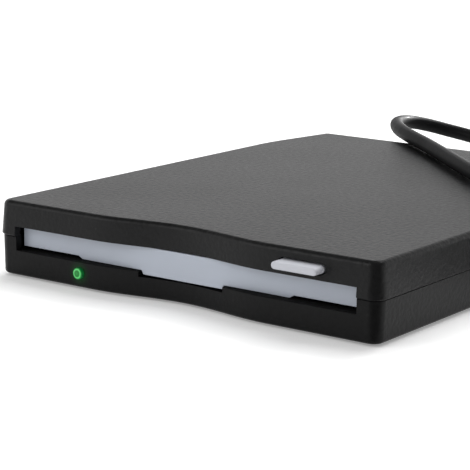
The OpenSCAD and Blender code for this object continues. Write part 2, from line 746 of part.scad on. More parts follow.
module stator_coils() {
  color([0.72, 0.4, 0.2]) translate([0, spindle_y, base_top + stator_t])
    for (i = [0:coils - 1]) rotate(360 * i / coils) translate([rotor_r - 6, 0, 0]) difference() {
      cylinder(r = 3.2, h = 0.7);
      translate([0, 0, -1]) cylinder(r = 1.2, h = 3);
    }
}

module rotor() {
  color([0.7, 0.71, 0.73]) translate([0, spindle_y, 0]) difference() {
    union() {
      translate([0, 0, rotor_z]) cylinder(r = rotor_r, h = 0.6);
      difference() {
        translate([0, 0, base_top + stator_t + sheet_gap])
          cylinder(r = rotor_r, h = rotor_z - base_top - stator_t - sheet_gap + 0.1);
        translate([0, 0, base_top]) cylinder(r = rotor_r - 0.7, h = 5);
      }
    }
    translate([0, 0, rotor_z - 1]) cylinder(r = shaft_r, h = 3);
    for (i = [0:2]) rotate(120 * i + 60) translate([rotor_r - 5, 0, rotor_z - 1]) cylinder(r = 1.2, h = 3);
  }
}

module rotor_magnet() {
  color([0.25, 0.25, 0.26]) translate([0, spindle_y, rotor_z - 0.4]) difference() {
    cylinder(r = rotor_r - 0.7 - run_gap, h = 0.4);
    translate([0, 0, -1]) cylinder(r = rotor_r - 8.5, h = 3);
  }
}

module spindle_shaft() {
  color([0.8, 0.8, 0.82]) translate([0, spindle_y, base_z + 0.1])
    cylinder(r = shaft_r, h = disk_z - base_z - 0.2);
}

module spindle_hub() {
  color([0.78, 0.78, 0.8]) translate([0, spindle_y, rotor_z + 0.6]) difference() {
    cylinder(r = 7.5, h = disk_z - rotor_z - 0.8);
    translate([0, 0, -1]) cylinder(r = shaft_r, h = 3);
  }
}

module drive_pin() {
  color([0.85, 0.85, 0.85]) translate([10, spindle_y, rotor_z + 0.6])
    cylinder(r = 0.9, h = disk_z - rotor_z - 0.65);
}

// ---- Head carriage ----

rod_y = head_y - 10;
module stepper_motor() {
  color([0.72, 0.73, 0.75]) difference() {
    union() {
      rod_along_y([stepper_x, bracket_y + plate_t, screw_z], stepper_r, motor_l);
      rod_along_y([stepper_x, bracket_y, screw_z], 2.2, plate_t + 1);
    }
    rod_along_y([stepper_x, bracket_y - 1, screw_z], screw_r + run_gap, 4);
  }
}

module stepper_bracket() {
  color([0.74, 0.75, 0.77]) difference() {
    union() {
      slab(stepper_x - 6.2, stepper_x + 6.2, bracket_y, bracket_y + plate_t, base_top, screw_z + 4.6);
      slab(stepper_x + 4.8, stepper_x + 9, bracket_y - 7.5, bracket_y + 0.1, base_top, base_top + plate_t);
    }
    rod_along_y([stepper_x, bracket_y - 1, screw_z], 2.2, plate_t + 2);
    // Notch round the guide rod and the carriage's bush
    slab(stepper_x - 7, rod_x + lug_w + open_gap, bracket_y - 1, bracket_y + 2,
         base_top - 1, lug_top + open_gap);
    translate([stepper_x + 7, bracket_y - 4, base_top - 1]) cylinder(r = 1, h = 3);
  }
}

// Lead screw with a collar in front of the motor
module lead_screw() {
  color([0.8, 0.8, 0.82]) {
    rod_along_y([stepper_x, screw_start, screw_z], screw_r, bracket_y + 2 - screw_start);
    rod_along_y([stepper_x, bracket_y - 0.5, screw_z], 1.8, 0.4);
  }
}

module guide_rods() {
  color([0.83, 0.83, 0.85]) for (x = [-rod_x, rod_x])
    rod_along_y([x, rod_y - chassis_t, rod_z], rod_r, chassis_end - rod_y + chassis_t);
}

module head_carriage() {
  lug_bot = base_top + 0.25;
  ear_in = 6.2;
  color([0.16, 0.16, 0.17]) difference() {
    union() {
      // Lower arm under the diskette
      slab(-6.5, 6.5, head_y - 4, block_y + 1, arm_bot, arm_bot + 2.1);
      // Block behind the diskette and the ears of the arm's pivot
      slab(-8, 8, block_y, block_end, arm_bot, arm_z - 1.9);
      both_sides() slab(ear_in, 8, arm_y - 1.6, block_end, arm_bot, arm_z);
      both_sides() rod_along_x([ear_in, arm_y, arm_z], 1.6, 8 - ear_in);
      // Bushes on the right rod
      for (y = [block_y - 14.5, block_y]) slab(6, rod_x + lug_w, y, y + 4.5, lug_bot, lug_top);
      // Fork on the left rod
      slab(-rod_x - lug_w, -7, block_y, block_y + 4.5, lug_bot, lug_top);
      // Arm with the nut on the lead screw
      slab(7.5, stepper_x - 1.8, nut_y, nut_y + nut_l, screw_z - 1.1, screw_z + 1.1);
      rod_along_y([stepper_x, nut_y, screw_z], 2.3, nut_l);
      // Flag of the track sensor
      slab(-15.6, -7.5, block_y + 1.3, block_y + 4.3, flag_z, flag_z + 0.6);
    }
    rod_along_y([rod_x, block_y - 20, rod_z], rod_r + run_gap, 40);
    rod_along_y([-rod_x, block_y - 20, rod_z], rod_r + run_gap, 40);
    slab(-rod_x - 4, -rod_x, block_y - 20, block_y + 20, rod_z - rod_r - run_gap, rod_z + rod_r + run_gap);
    rod_along_y([stepper_x, nut_y - 1, screw_z], screw_r + run_gap, nut_l + 2);
    rod_along_x([-10, arm_y, arm_z], arm_pin_r, 20);
    // Weight-saving pockets in the lower arm
    slab(-3.5, 3.5, head_y + 8, block_y - 3, arm_bot - 1, arm_bot + 3);
  }
}

module lower_head() {
  color([0.85, 0.83, 0.78]) {
    slab(-3.6, 3.6, head_y - 3.6, head_y + 3.6, arm_bot + 2.1, media_z - 0.9);
    slab(-1.4, 1.4, head_y - 2.2, head_y + 2.2, media_z - 0.9 - eps, media_z - 0.15);
  }
}

arm_pin_r = 0.8;
module arm_pin() {
  color([0.8, 0.8, 0.82]) rod_along_x([-8, arm_y, arm_z], arm_pin_r, 16);
}

module upper_arm() {
  t = 0.7;
  z0 = arm_z - 0.35;
  color([0.17, 0.17, 0.18]) difference() {
    union() {
      slab(-5.5, 5.5, head_y - 4, arm_y, z0, z0 + t);
      rod_along_x([-5.9, arm_y, arm_z], 1.6, 11.8);
      both_sides() slab(4.3, 5.5, head_y + 5, arm_y, z0, z0 + t + 0.8);
    }
    rod_along_x([-10, arm_y, arm_z], arm_pin_r + run_gap, 20);
    slab(-2.5, 2.5, head_y + 8, arm_y - 6, z0 - 1, z0 + t + 1);
  }
}

module upper_head() {
  z1 = arm_z - 0.35;
  color([0.85, 0.83, 0.78]) {
    slab(-3.6, 3.6, head_y - 3.6, head_y + 3.6, media_z + 1.2, z1);
    slab(-1.4, 1.4, head_y - 2.2, head_y + 2.2, media_z + 0.15, media_z + 1.2 + eps);
  }
}

// ---- Boards ----

board_z = base_top + 0.8;
board_t = 1;
main_x0 = -chassis_in + 2.6;
main_x1 = -rod_x - 3;
main_y0 = post[1] + 4.2;
main_y1 = chassis_end - chassis_t - 0.6;
main_posts = [for (x = [main_x0 + 3, main_x1 - 3], y = [main_y0 + 3, main_y1 - 3]) [x, y]];
bridge_x0 = stepper_x + 10;
bridge_x1 = chassis_in - 2.6;
bridge_y0 = main_y0 - 3;
bridge_posts = [for (x = [bridge_x0 + 3, bridge_x1 - 3], y = [bridge_y0 + 3, main_y1 - 3]) [x, y]];
flag_z = board_z + board_t + 2.3;

module board(x0, x1, y0, y1, posts) {
  difference() {
    slab(x0, x1, y0, y1, board_z, board_z + board_t);
    for (p = posts) translate([p[0], p[1], board_z - 1]) cylinder(r = 1.1, h = board_t + 2);
  }
}

module main_board() {
  color([0.16, 0.36, 0.22]) board(main_x0, main_x1, main_y0, main_y1, main_posts);
}

// Flat package with its corner at [x, y] on a board
module chip(x, y, w, l, h) {
  slab(x, x + w, y, y + l, board_z + board_t, board_z + board_t + h);
}

module main_board_chips() {
  color([0.14, 0.14, 0.15]) {
    chip(main_x0 + 6, main_y0 + 7, 10, 10, 1.2);
    chip(main_x0 + 19, main_y0 + 4.5, 5, 4, 1);
    chip(main_x0 + 19, main_y0 + 14.5, 5, 4, 1);
    for (i = [0:3]) chip(main_x0 + 7 + 2.4 * i, main_y0 + 2, 1.2, 2, 0.6);
    chip(main_x0 + 7, main_y1 - 3.4, 10, 2.4, 1.6);
  }
}

module track_zero_sensor() {
  x0 = main_x1 - 4;
  color([0.12, 0.12, 0.13]) difference() {
    slab(x0, main_x1 - 0.1, block_y + 0.6, block_y + 5, board_z + board_t, flag_z + 2);
    slab(x0 + 1.2, main_x1 + 1, block_y - 1, block_y + 7, flag_z - 0.5, flag_z + 1.1);
  }
}

module bridge_board() {
  color([0.14, 0.34, 0.2]) board(bridge_x0, bridge_x1, bridge_y0, main_y1, bridge_posts);
}

module bridge_board_chips() {
  color([0.14, 0.14, 0.15]) {
    chip(bridge_x0 + 5.5, bridge_y0 + 6, 8, 8, 1.2);
    chip(bridge_x0 + 5, bridge_y0 + 1, 9, 2.6, 2.2);
    for (i = [0:3]) chip(bridge_x0 + 1, bridge_y0 + 7 + 2.2 * i, 2, 1.2, 0.6);
  }
}

module board_ribbon() {
  y0 = main_y1 - 7;
  color([0.85, 0.84, 0.78]) difference() {
    slab(main_x1 - 5, bridge_x0 + 5, y0, y0 + 5.5, base_top, base_top + 0.2);
    // Cut round the standoffs
    for (p = concat(main_posts, bridge_posts)) translate([p[0], p[1], base_z])
      cylinder(r = 1.8 + seat_gap, h = 3);
  }
}

module motor_ribbon() {
  color([0.85, 0.84, 0.78])
    slab(-20, -15, spindle_y + 23.1, main_y0 + 0.8, base_top, base_top + 0.2);
}

ledge_y = flap_axis_y + 0.5;
board_y = y_front + wave_d + low_d + wall + seat_gap;
board_l = chassis_y - board_y - 0.3;
module front_board() {
  color([0.16, 0.36, 0.22]) slab(-disk_w / 2, disk_w / 2, board_y, board_y + board_l, base_z, base_z + 0.8);
}

switch_x = disk_w / 2 - 6;
module disk_switches() {
  color([0.1, 0.1, 0.11]) both_sides() {
    slab(switch_x - 2, switch_x + 2, board_y + 0.2, board_y + board_l - 0.2, base_z + 0.8, disk_z - 1);
    translate([switch_x, board_y + board_l / 2, disk_z - 1 - eps]) cylinder(r = 0.8, h = 0.8);
  }
}

module lamp() {
  color([0.3, 0.85, 0.4])
    slab(-lens_x - 1.5, -lens_x + 1.5, board_y + 0.3, board_y + 2.3, base_z + 0.8, lens_z + 1);
}

// Light pipe with a domed face that stands just out of the front
module lamp_lens() {
  y1 = board_y - 0.1;
  color([0.35, 0.95, 0.45]) translate([-lens_x, y_front, lens_z]) rotate([-90, 0, 0])
    rotate_extrude() polygon(concat(
      [for (i = [0:5]) [lens_r * sin(18 * i), -0.35 * cos(18 * i)]],
      [[lens_r, y1 - y_front], [0, y1 - y_front]]));
}

// ---- Lead ----

relief_neck_r = 2.6;
relief_seat = y_back - wall - low_d;          // inner face of the lower half's back wall
relief_y = y_back + 1.2;
relief_end = relief_y + relief_l;

// Strain relief: flange inside, neck through the wall, collar, grooved taper
module strain_relief() {
  r0 = 3.3;
  r1 = cord_d / 2 + 0.45;
  grooves = 5;
  step = relief_l / (grooves + 1);
  function taper_r(s) = r0 + (r1 - r0) * s / relief_l;
  color([0.1, 0.1, 0.11]) translate([exit_x, 0, z_part]) rotate([-90, 0, 0]) rotate_extrude()
    polygon(concat(
      [[0, relief_seat - 1.4], [3.8, relief_seat - 1.4], [3.8, relief_seat - seat_gap],
       [relief_neck_r, relief_seat - seat_gap], [relief_neck_r, y_back + seat_gap],
       [3.6, y_back + seat_gap], [3.6, relief_y]],
      [for (i = [0:grooves - 1], k = [0:3]) let (s = (i + 0.55 + [0, 0, 0.4, 0.4][k]) * step)
        [taper_r(s) - [0, 0.5, 0.5, 0][k], relief_y + s]],
      [[r1, relief_end], [0, relief_end]]));
}

// Tube swept along points, with its normals carried from ring to ring
function lean(u, t) = unit(u - dot(u, t) * t);
module tube(pts, r, sides) {
  n = len(pts);
  t = [for (i = [0:n - 1]) unit(pts[min(i + 1, n - 1)] - pts[max(i - 1, 0)])];
  start = abs(t[0][2]) < 0.9 ? [0, 0, 1] : [1, 0, 0];
  us = [for (i = 0, u = lean(start, t[0]); i < n; i = i + 1, u = i < n ? lean(u, t[i]) : u) u];
  rings = [for (i = [0:n - 1]) let (v = cross(t[i], us[i]))
    [for (k = [0:sides - 1]) let (a = 360 * k / sides) pts[i] + r * (cos(a) * us[i] + sin(a) * v)]];
  polyhedron(
    points = [for (ring = rings, p = ring) p],
    faces = concat(
      [[for (k = [sides - 1:-1:0]) k]],
      [[for (k = [0:sides - 1]) (n - 1) * sides + k]],
      [for (i = [0:n - 2], k = [0:sides - 1])
        let (a = i * sides + k, b = i * sides + (k + 1) % sides) [a, b, a + sides]],
      [for (i = [0:n - 2], k = [0:sides - 1])
        let (a = i * sides + k, b = i * sides + (k + 1) % sides) [b, b + sides, a + sides]]
    ),
    convexity = 10
  );
}

// Smooth curve through hand-chosen points, with equal steps between them
function curve(p, steps) =
  let (n = len(p))
  concat([for (i = [0:n - 2], k = [0:steps - 1])
    let (a = p[max(i - 1, 0)], b = p[i], c = p[i + 1], d = p[min(i + 2, n - 1)], s = k / steps)
      ((2 * b) + (c - a) * s + (2 * a - 5 * b + 4 * c - d) * s * s
        + (3 * b - a - 3 * c + d) * s * s * s) / 2], [p[n - 1]]);

// Route of the lead: out of the back, round in a loop, over the top and down at the right
cord_points = [
  [exit_x, relief_end, z_part], [4, 84.4, 9.9], [4, 86.8, 9.9], [3.5, 91.4, 10.3], [1.3, 97.2, 11.2],
  [-3, 101.8, 12.2], [-9.4, 104.9, 13.3], [-16.4, 106.6, 14.3], [-23, 106.9, 15.2],
  [-29, 106, 16.2], [-33.9, 103.2, 17.5], [-36.9, 98.8, 18.6], [-37.5, 93.6, 19.2],
  [-36, 88.3, 19.5], [-32.9, 83, 19.7], [-29.2, 77.9, 19.9], [-25.2, 73, 20.1], [-19, 66.6, 20.2],
  [-12, 60.2, 20.2], [-5.6, 54.6, 20.1], [4.4, 44.9, 20.1], [14.2, 35.3, 20.1], [24, 26.1, 20.1],
  [34, 17.7, 20.1], [43, 12.3, 20.2], [50.6, 9.5, 20.1], [56.5, 8.4, 17.7], [60.8, 8, 13.2],
  [64.3, 8, 8.6], [68.5, 8, 5], [73.6, 8, 3], [78, 8, 2.5], [80, 8, 2.5], [82, 8, 2.5]
];
tail_points = [
  [82, 60, 7], [80, 60, 7], [76, 60.2, 6.8], [70, 61.8, 6], [64.8, 65.4, 5], [61.3, 70.4, 4.3],
  [59.7, 75, 4], [59.4, 78, 4], [59.4, 80, 4]
];

module usb_cord() {
  color([0.09, 0.09, 0.1]) tube(curve(cord_points, 2), cord_d / 2, 8);
}

// Coil: spirals in along the table, climbs half a turn, spirals out again on top
coil_c = [86, 34];
coil_pitch = cord_d + 0.5;
coil_z = cord_d / 2 + 0.5;
coil_rise = cord_d + 0.5;
coil_sweep = 360 * coil_turns;
function coil_point(a) =
  let (
    mid = coil_sweep / 2,
    r = coil_r - coil_pitch * (mid - abs(a - mid)) / 360,
    climb = min(max((a - mid + 90) / 180, 0), 1)
  ) [coil_c[0] + r * sin(a), coil_c[1] - r * cos(a),
     coil_z + coil_rise * climb * climb * (3 - 2 * climb)];
coil_steps = 24 * coil_turns;
coil_path = concat(
  [coil_point(0) - [cord_d, 0, 0]],
  [for (i = [0:coil_steps]) coil_point(coil_sweep * i / coil_steps)],
  [coil_point(coil_sweep) - [cord_d, 0, 0]]
);

module cord_coil() {
  color([0.09, 0.09, 0.1]) tube(coil_path, cord_d / 2, 6);
}

// Least distance between points of the coil that are over a third of a turn apart
coil_gap = min([for (i = [0:len(coil_path) - 1], j = [i + 9:1:len(coil_path) - 1])
  norm(coil_path[i] - coil_path[j])]) - cord_d;
echo("least gap of the coil to itself", coil_gap);
function length_of(p) = len(p) < 2 ? 0 : [for (i = [0:len(p) - 2]) norm(p[i + 1] - p[i])] *
  [for (i = [0:len(p) - 2]) 1];
echo("lead lengths", length_of(curve(cord_points, 4)), length_of(coil_path),
     length_of(curve(tail_points, 4)));

module cord_tail() {
  color([0.09, 0.09, 0.1]) tube(curve(tail_points, 3), cord_d / 2, 8);
}

// Strap round the coil's turns, on the side away from the drive
module coil_tie() {
  r_in = coil_r - coil_pitch * coil_turns / 2 - cord_d / 2 - 0.6;
  r_out = coil_r + cord_d / 2 + 0.6;
  z1 = coil_z + coil_rise + cord_d / 2 + 0.2;
  color([0.1, 0.1, 0.11]) translate([coil_c[0], coil_c[1], 0]) difference() {
    slab(r_in - 0.6, r_out + 0.6, -3, 3, 0, z1 + 0.6);
    slab(r_in, r_out, -4, 4, 0.3, z1);
  }
}

plug_p = [59.4, 80, 4];
grip_w = 15.6;
grip_h = 8;
grip_l = 22;
shell_w = 12;
shell_h = 4.5;
shell_l = 18.7;
shell_t = 0.35;
module plug_grip() {
  r = 2;
  color([0.1, 0.1, 0.11]) translate(plug_p) {
    rod_along_y([0, 0, 0], 2.9, 5);
    difference() {
      translate([0, 4.5, 0]) rotate([-90, 0, 0]) linear_extrude(grip_l) union() {
        square([grip_w - 2 * r, grip_h], center = true);
        square([grip_w, grip_h - 2 * r], center = true);
        for (x = [-1, 1], y = [-1, 1])
          translate([x * (grip_w / 2 - r), y * (grip_h / 2 - r)]) circle(r);
      }
      // Finger grooves across both faces
      for (i = [0:3], s = [-1, 1])
        slab(-5, 5, 10 + 3 * i, 11 + 3 * i, s * (grip_h / 2 - 0.2) - 0.2, s * (grip_h / 2 - 0.2) + 0.2);
      slab(-shell_w / 2, shell_w / 2, 4.5 + grip_l - 3, 4.5 + grip_l + 1, -shell_h / 2, shell_h / 2);
    }
  }
}

module plug_shell() {
  y0 = 4.5 + grip_l - 3;
  color([0.78, 0.78, 0.8]) translate(plug_p) difference() {
    slab(-shell_w / 2, shell_w / 2, y0, y0 + 3 + shell_l, -shell_h / 2, shell_h / 2);
    slab(-shell_w / 2 + shell_t, shell_w / 2 - shell_t, y0 + shell_t, y0 + 4 + shell_l,
         -shell_h / 2 + shell_t, shell_h / 2 - shell_t);
    for (x = [-3.2, 3.2]) slab(x - 1.2, x + 1.2, y0 + 10, y0 + 12.4, -shell_h, shell_h);
  }
}

module plug_tongue() {
  y0 = 4.5 + grip_l - 3 + shell_t;
  color([0.9, 0.9, 0.9]) translate(plug_p) {
    slab(-shell_w / 2 + shell_t, shell_w / 2 - shell_t, y0, y0 + shell_l + 2,
         -shell_h / 2 + shell_t, -shell_h / 2 + shell_t + 1.8);
    slab(-shell_w / 2 + shell_t, shell_w / 2 - shell_t, y0, y0 + 6,
         -shell_h / 2 + shell_t, shell_h / 2 - shell_t);
  }
}

// Inside the case the lead runs behind the chassis to the bridge board
socket_p = [bridge_x0 + 9, main_y1 - 6.4];
lead_z = board_z + board_t + 2;
module inner_lead() {
  pts = [
    [exit_x, relief_seat - 1.5, z_part], [exit_x, relief_seat - 2.1, z_part],
    [exit_x, relief_seat - 2.7, z_part], [exit_x + 1.5, relief_seat - 4.1, z_part - 0.1],
    [exit_x + 5, relief_seat - 4.5, z_part - 0.5], [exit_x + 16, relief_seat - 4.2, z_part - 1.4],
    [exit_x + 25, relief_seat - 4.3, lead_z + 0.6], [exit_x + 30, main_y1 + 1, lead_z + 0.2],
    [socket_p[0], main_y1 - 1.5, lead_z], [socket_p[0], main_y1 - 2.4, lead_z],
    [socket_p[0], main_y1 - 3.3, lead_z]
  ];
  color([0.12, 0.12, 0.13]) tube(curve(pts, 2), 1.4, 8);
}

module lead_socket() {
  color([0.92, 0.91, 0.87])
    slab(socket_p[0] - 4, socket_p[0] + 4, socket_p[1] - 2, main_y1 - 3.4,
         board_z + board_t, lead_z + 2);
}

upper_case();
lower_case();
case_screws();
rubber_feet();
flap();
flap_spring();
eject_button();
eject_plate();
guide_studs();
eject_springs();
disk_holder();
lift_pins();
chassis();
chassis_screws();
top_cover();
trigger_post();
trigger_lever();
spindle_bearing();
stator_board();
stator_coils();
rotor();
rotor_magnet();
spindle_shaft();
spindle_hub();
drive_pin();
stepper_motor();
stepper_bracket();
lead_screw();
guide_rods();
head_carriage();
lower_head();
arm_pin();
upper_arm();
upper_head();
main_board();
main_board_chips();
track_zero_sensor();
bridge_board();
bridge_board_chips();
board_ribbon();
motor_ribbon();
front_board();
disk_switches();
lamp();
lamp_lens();
inner_lead();
lead_socket();
strain_relief();
usb_cord();
cord_coil();
cord_tail();
coil_tie();
plug_grip();
plug_shell();
plug_tongue();
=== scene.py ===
import json
import math

import bmesh
import bpy
from mathutils import Matrix, Vector

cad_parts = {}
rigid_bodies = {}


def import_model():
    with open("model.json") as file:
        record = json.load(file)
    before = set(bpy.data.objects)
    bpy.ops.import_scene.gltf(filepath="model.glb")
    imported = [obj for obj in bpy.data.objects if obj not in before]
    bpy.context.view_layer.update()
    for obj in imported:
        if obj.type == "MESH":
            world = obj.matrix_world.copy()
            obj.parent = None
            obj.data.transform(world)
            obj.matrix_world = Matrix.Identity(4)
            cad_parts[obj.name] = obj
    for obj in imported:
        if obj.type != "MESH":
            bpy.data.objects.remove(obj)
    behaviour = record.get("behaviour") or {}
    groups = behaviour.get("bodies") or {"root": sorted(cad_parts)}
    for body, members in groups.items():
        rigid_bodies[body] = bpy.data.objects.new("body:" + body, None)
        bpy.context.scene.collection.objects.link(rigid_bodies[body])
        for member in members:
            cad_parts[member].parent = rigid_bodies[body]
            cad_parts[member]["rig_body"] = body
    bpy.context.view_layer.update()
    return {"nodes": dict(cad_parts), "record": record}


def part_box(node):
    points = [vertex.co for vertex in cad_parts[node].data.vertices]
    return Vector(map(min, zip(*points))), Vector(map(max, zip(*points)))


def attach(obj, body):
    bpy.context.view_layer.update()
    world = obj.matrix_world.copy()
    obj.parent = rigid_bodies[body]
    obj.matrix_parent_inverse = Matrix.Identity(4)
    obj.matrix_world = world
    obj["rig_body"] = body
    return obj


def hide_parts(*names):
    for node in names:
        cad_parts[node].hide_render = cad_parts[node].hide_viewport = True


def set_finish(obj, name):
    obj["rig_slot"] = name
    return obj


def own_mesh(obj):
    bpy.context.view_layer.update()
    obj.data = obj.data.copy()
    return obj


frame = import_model()
mm = 0.001
print("frame loaded:", len(frame["nodes"]), "nodes")

# Sizes that several pieces share, in millimetres, measured on the model
upperBox = [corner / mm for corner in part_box("upper_case")]
lowerBox = [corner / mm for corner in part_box("lower_case")]
flapBox = [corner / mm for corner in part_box("flap")]
buttonBox = [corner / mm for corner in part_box("eject_button")]
lensBox = [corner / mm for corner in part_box("lamp_lens")]
reliefBox = [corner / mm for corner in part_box("strain_relief")]
front, back = upperBox[0].y, upperBox[1].y
halfWidth = upperBox[1].x
topZ, partZ, bottomZ = upperBox[1].z, lowerBox[1].z, lowerBox[0].z
exitX = (reliefBox[0].x + reliefBox[1].x) / 2

case = {
    "frontRadius": 3.25, "backRadius": 2.4, "taperIn": 3.6, "taperLength": 25.5, "taperBend": 5,
    "waveDepth": 2.9, "waveHalf": 24, "topRound": 1.3, "draft": 0.5, "wall": 1.8,
    "roof": 1.6, "floor": 1.6, "seam": 0.25, "step": 0.4, "bottomRound": 0.9,
    "slotHalf": 46.6, "slotLow": 6.5, "slotTop": 12.2, "notchHalf": 11.6, "notchDepth": 1.3,
    "hingeY": flapBox[0].y + 0.9, "hingeZ": 13.2, "slotBack": 2.2, "neckRadius": 2.7,
    "lensHole": 1.45, "mouthRound": 0.14, "lowDraft": 0.1,
}

view = {  # angles in degrees, place in metres
    "azimuth": 35.54, "elevation": 12.2, "roll": 0.9, "lens": 141.85,
    "place": (0.2390, -0.37795, 0.1018),
}


def linkNew(name, data):
    thing = bpy.data.objects.new(name, data)
    bpy.context.scene.collection.objects.link(thing)
    return thing


def makeCamera():
    a, e, r = (math.radians(view[key]) for key in ("azimuth", "elevation", "roll"))
    behind = Vector((math.sin(a) * math.cos(e), -math.cos(a) * math.cos(e), math.sin(e)))
    right = Vector((math.cos(a), math.sin(a), 0))
    up = behind.cross(right)
    turnedRight = math.cos(r) * right + math.sin(r) * up
    turnedUp = math.cos(r) * up - math.sin(r) * right
    data = bpy.data.cameras.new("camera")
    data.lens = view["lens"]
    data.sensor_width = 36
    data.clip_start, data.clip_end = 0.01, 20
    camera = linkNew("camera", data)
    rotation = Matrix((turnedRight, turnedUp, behind)).transposed()
    camera.matrix_world = Matrix.Translation(view["place"]) @ rotation.to_4x4()
    bpy.context.scene.camera = camera


makeCamera()
print("camera placed")


class Level:  # a socket that can stand in sums
    def __init__(self, nodes, socket):
        self.nodes, self.socket = nodes, socket

    def sum(self, operation, first, second=0.0):
        return self.nodes.add("ShaderNodeMath", {"operation": operation}, {0: first, 1: second})

    def __add__(self, other):
        return self.sum("ADD", self, other)

    def __radd__(self, other):
        return self.sum("ADD", other, self)

    def __sub__(self, other):
        return self.sum("SUBTRACT", self, other)

    def __rsub__(self, other):
        return self.sum("SUBTRACT", other, self)

    def __mul__(self, other):
        return self.sum("MULTIPLY", self, other)

    def __rmul__(self, other):
        return self.sum("MULTIPLY", other, self)

    def __truediv__(self, other):
        return self.sum("DIVIDE", self, other)

    def __rtruediv__(self, other):
        return self.sum("DIVIDE", other, self)

    def __lt__(self, other):
        return self.sum("LESS_THAN", self, other)

    def __gt__(self, other):
        return self.sum("GREATER_THAN", self, other)

    def sine(self):
        return self.sum("SINE", self)

    def fraction(self):
        return self.sum("FRACT", self)

    def spread(self, low, high):  # pushes a soft value towards 0 and 1
        return self.nodes.add("ShaderNodeMapRange", {"clamp": True},
                              {0: self, 1: low, 2: high, 3: 0.0, 4: 1.0})


class Nodes:  # a node tree, with one method that adds any node
    def __init__(self, tree):
        self.tree = tree

    def add(self, kind, settings=None, inputs=None, output=0):
        node = self.tree.nodes.new(kind)
        for key, value in (settings or {}).items():
            if key == "stops":
                self.setStops(node.color_ramp, value)
            else:
                setattr(node, key, value)
        for key, value in (inputs or {}).items():
            self.feed(node.inputs[key], value)
        return Level(self, node.outputs[output]) if node.outputs else node

    def setStops(self, ramp, stops):
        while len(ramp.elements) < len(stops):
            ramp.elements.new(0.5)
        for element, (place, colour) in zip(ramp.elements, stops):
            element.position = place
            element.color = colour

    def feed(self, socket, value):
        if isinstance(value, Level):
            self.tree.links.new(value.socket, socket)
        else:
            socket.default_value = value

    def vector(self, operation, first, second=(0, 0, 0), output=0):
        return self.add("ShaderNodeVectorMath", {"operation": operation}, {0: first, 1: second}, output)

    def paintedDarkReflection(self, direction):  # painted dark reflection: floor and sky turn dark towards the camera's side, for glossy rays only
        facing = self.vector("DOT_PRODUCT", direction, studio["darkReflectionSide"], "Value")
        return facing.spread(*studio["darkReflectionEdge"]) * self.add("ShaderNodeLightPath", output="Is Glossy Ray")

    def seen(self):  # 1 for the rays that show the background itself
        kinds = ("Is Camera Ray", "Is Glossy Ray", "Is Transmission Ray")
        first, second, third = (self.add("ShaderNodeLightPath", output=kind) for kind in kinds)
        return (first + second + third).spread(0.0, 1.0)


class Finish(Nodes):  # the material of a piece
    def __init__(self, name, colour, roughness=0.5, metallic=0.0, **constants):
        self.material = bpy.data.materials.new(name)
        self.material.use_nodes = True
        super().__init__(self.material.node_tree)
        self.shader = self.tree.nodes["Principled BSDF"]
        self.colour = (*colour, 1.0)
        self.put("Base Color", self.colour)
        self.put("Roughness", roughness)
        self.put("Metallic", metallic)
        for key, value in constants.items():
            self.put(key.replace("_", " "), value)
        self.place = self.add("ShaderNodeTexCoord", output="Object")

    def put(self, socketName, value):
        self.feed(self.shader.inputs[socketName], value)

    def noise(self, scale, detail=3.0, stretch=(1, 1, 1)):
        source = self.vector("MULTIPLY", self.place, stretch)
        return self.add("ShaderNodeTexNoise", {}, {"Vector": source, "Scale": scale, "Detail": detail})

    def cells(self, scale, output="Distance"):
        return self.add("ShaderNodeTexVoronoi", {}, {"Vector": self.place, "Scale": scale}, output)

    def axis(self, letter):
        return self.add("ShaderNodeSeparateXYZ", {}, {0: self.place}, letter)

    def distance(self, centre, stretch):
        flat = self.vector("MULTIPLY", self.vector("SUBTRACT", self.place, centre), stretch)
        return self.vector("LENGTH", flat, output="Value")

    def mix(self, factor, first, second):
        node = {"data_type": "RGBA", "clamp_factor": True}
        return self.add("ShaderNodeMix", node, {0: factor, 6: first, 7: second}, 2)

    def shade(self, factor, low=0.8, high=1.2):
        darker = tuple(min(part * low, 1) for part in self.colour[:3]) + (1.0,)
        lighter = tuple(min(part * high, 1) for part in self.colour[:3]) + (1.0,)
        return self.mix(factor, darker, lighter)

    def ramp(self, factor, stops):
        return self.add("ShaderNodeValToRGB", {"stops": stops}, {0: factor})

    def surface(self, colour, roughness, height, depth):  # depth in millimetres
        self.put("Base Color", colour)
        self.put("Roughness", roughness)
        self.put("Normal", self.add("ShaderNodeBump", {},
                                    {"Strength": 1.0, "Distance": depth * mm, "Height": height}))
        return self.material


lampSpill = {"near": 1.3, "far": 3.6, "glow": (0.002, 0.03, 0.005, 1)}
slotLip = {"half": 0.1, "rougher": 0.5}


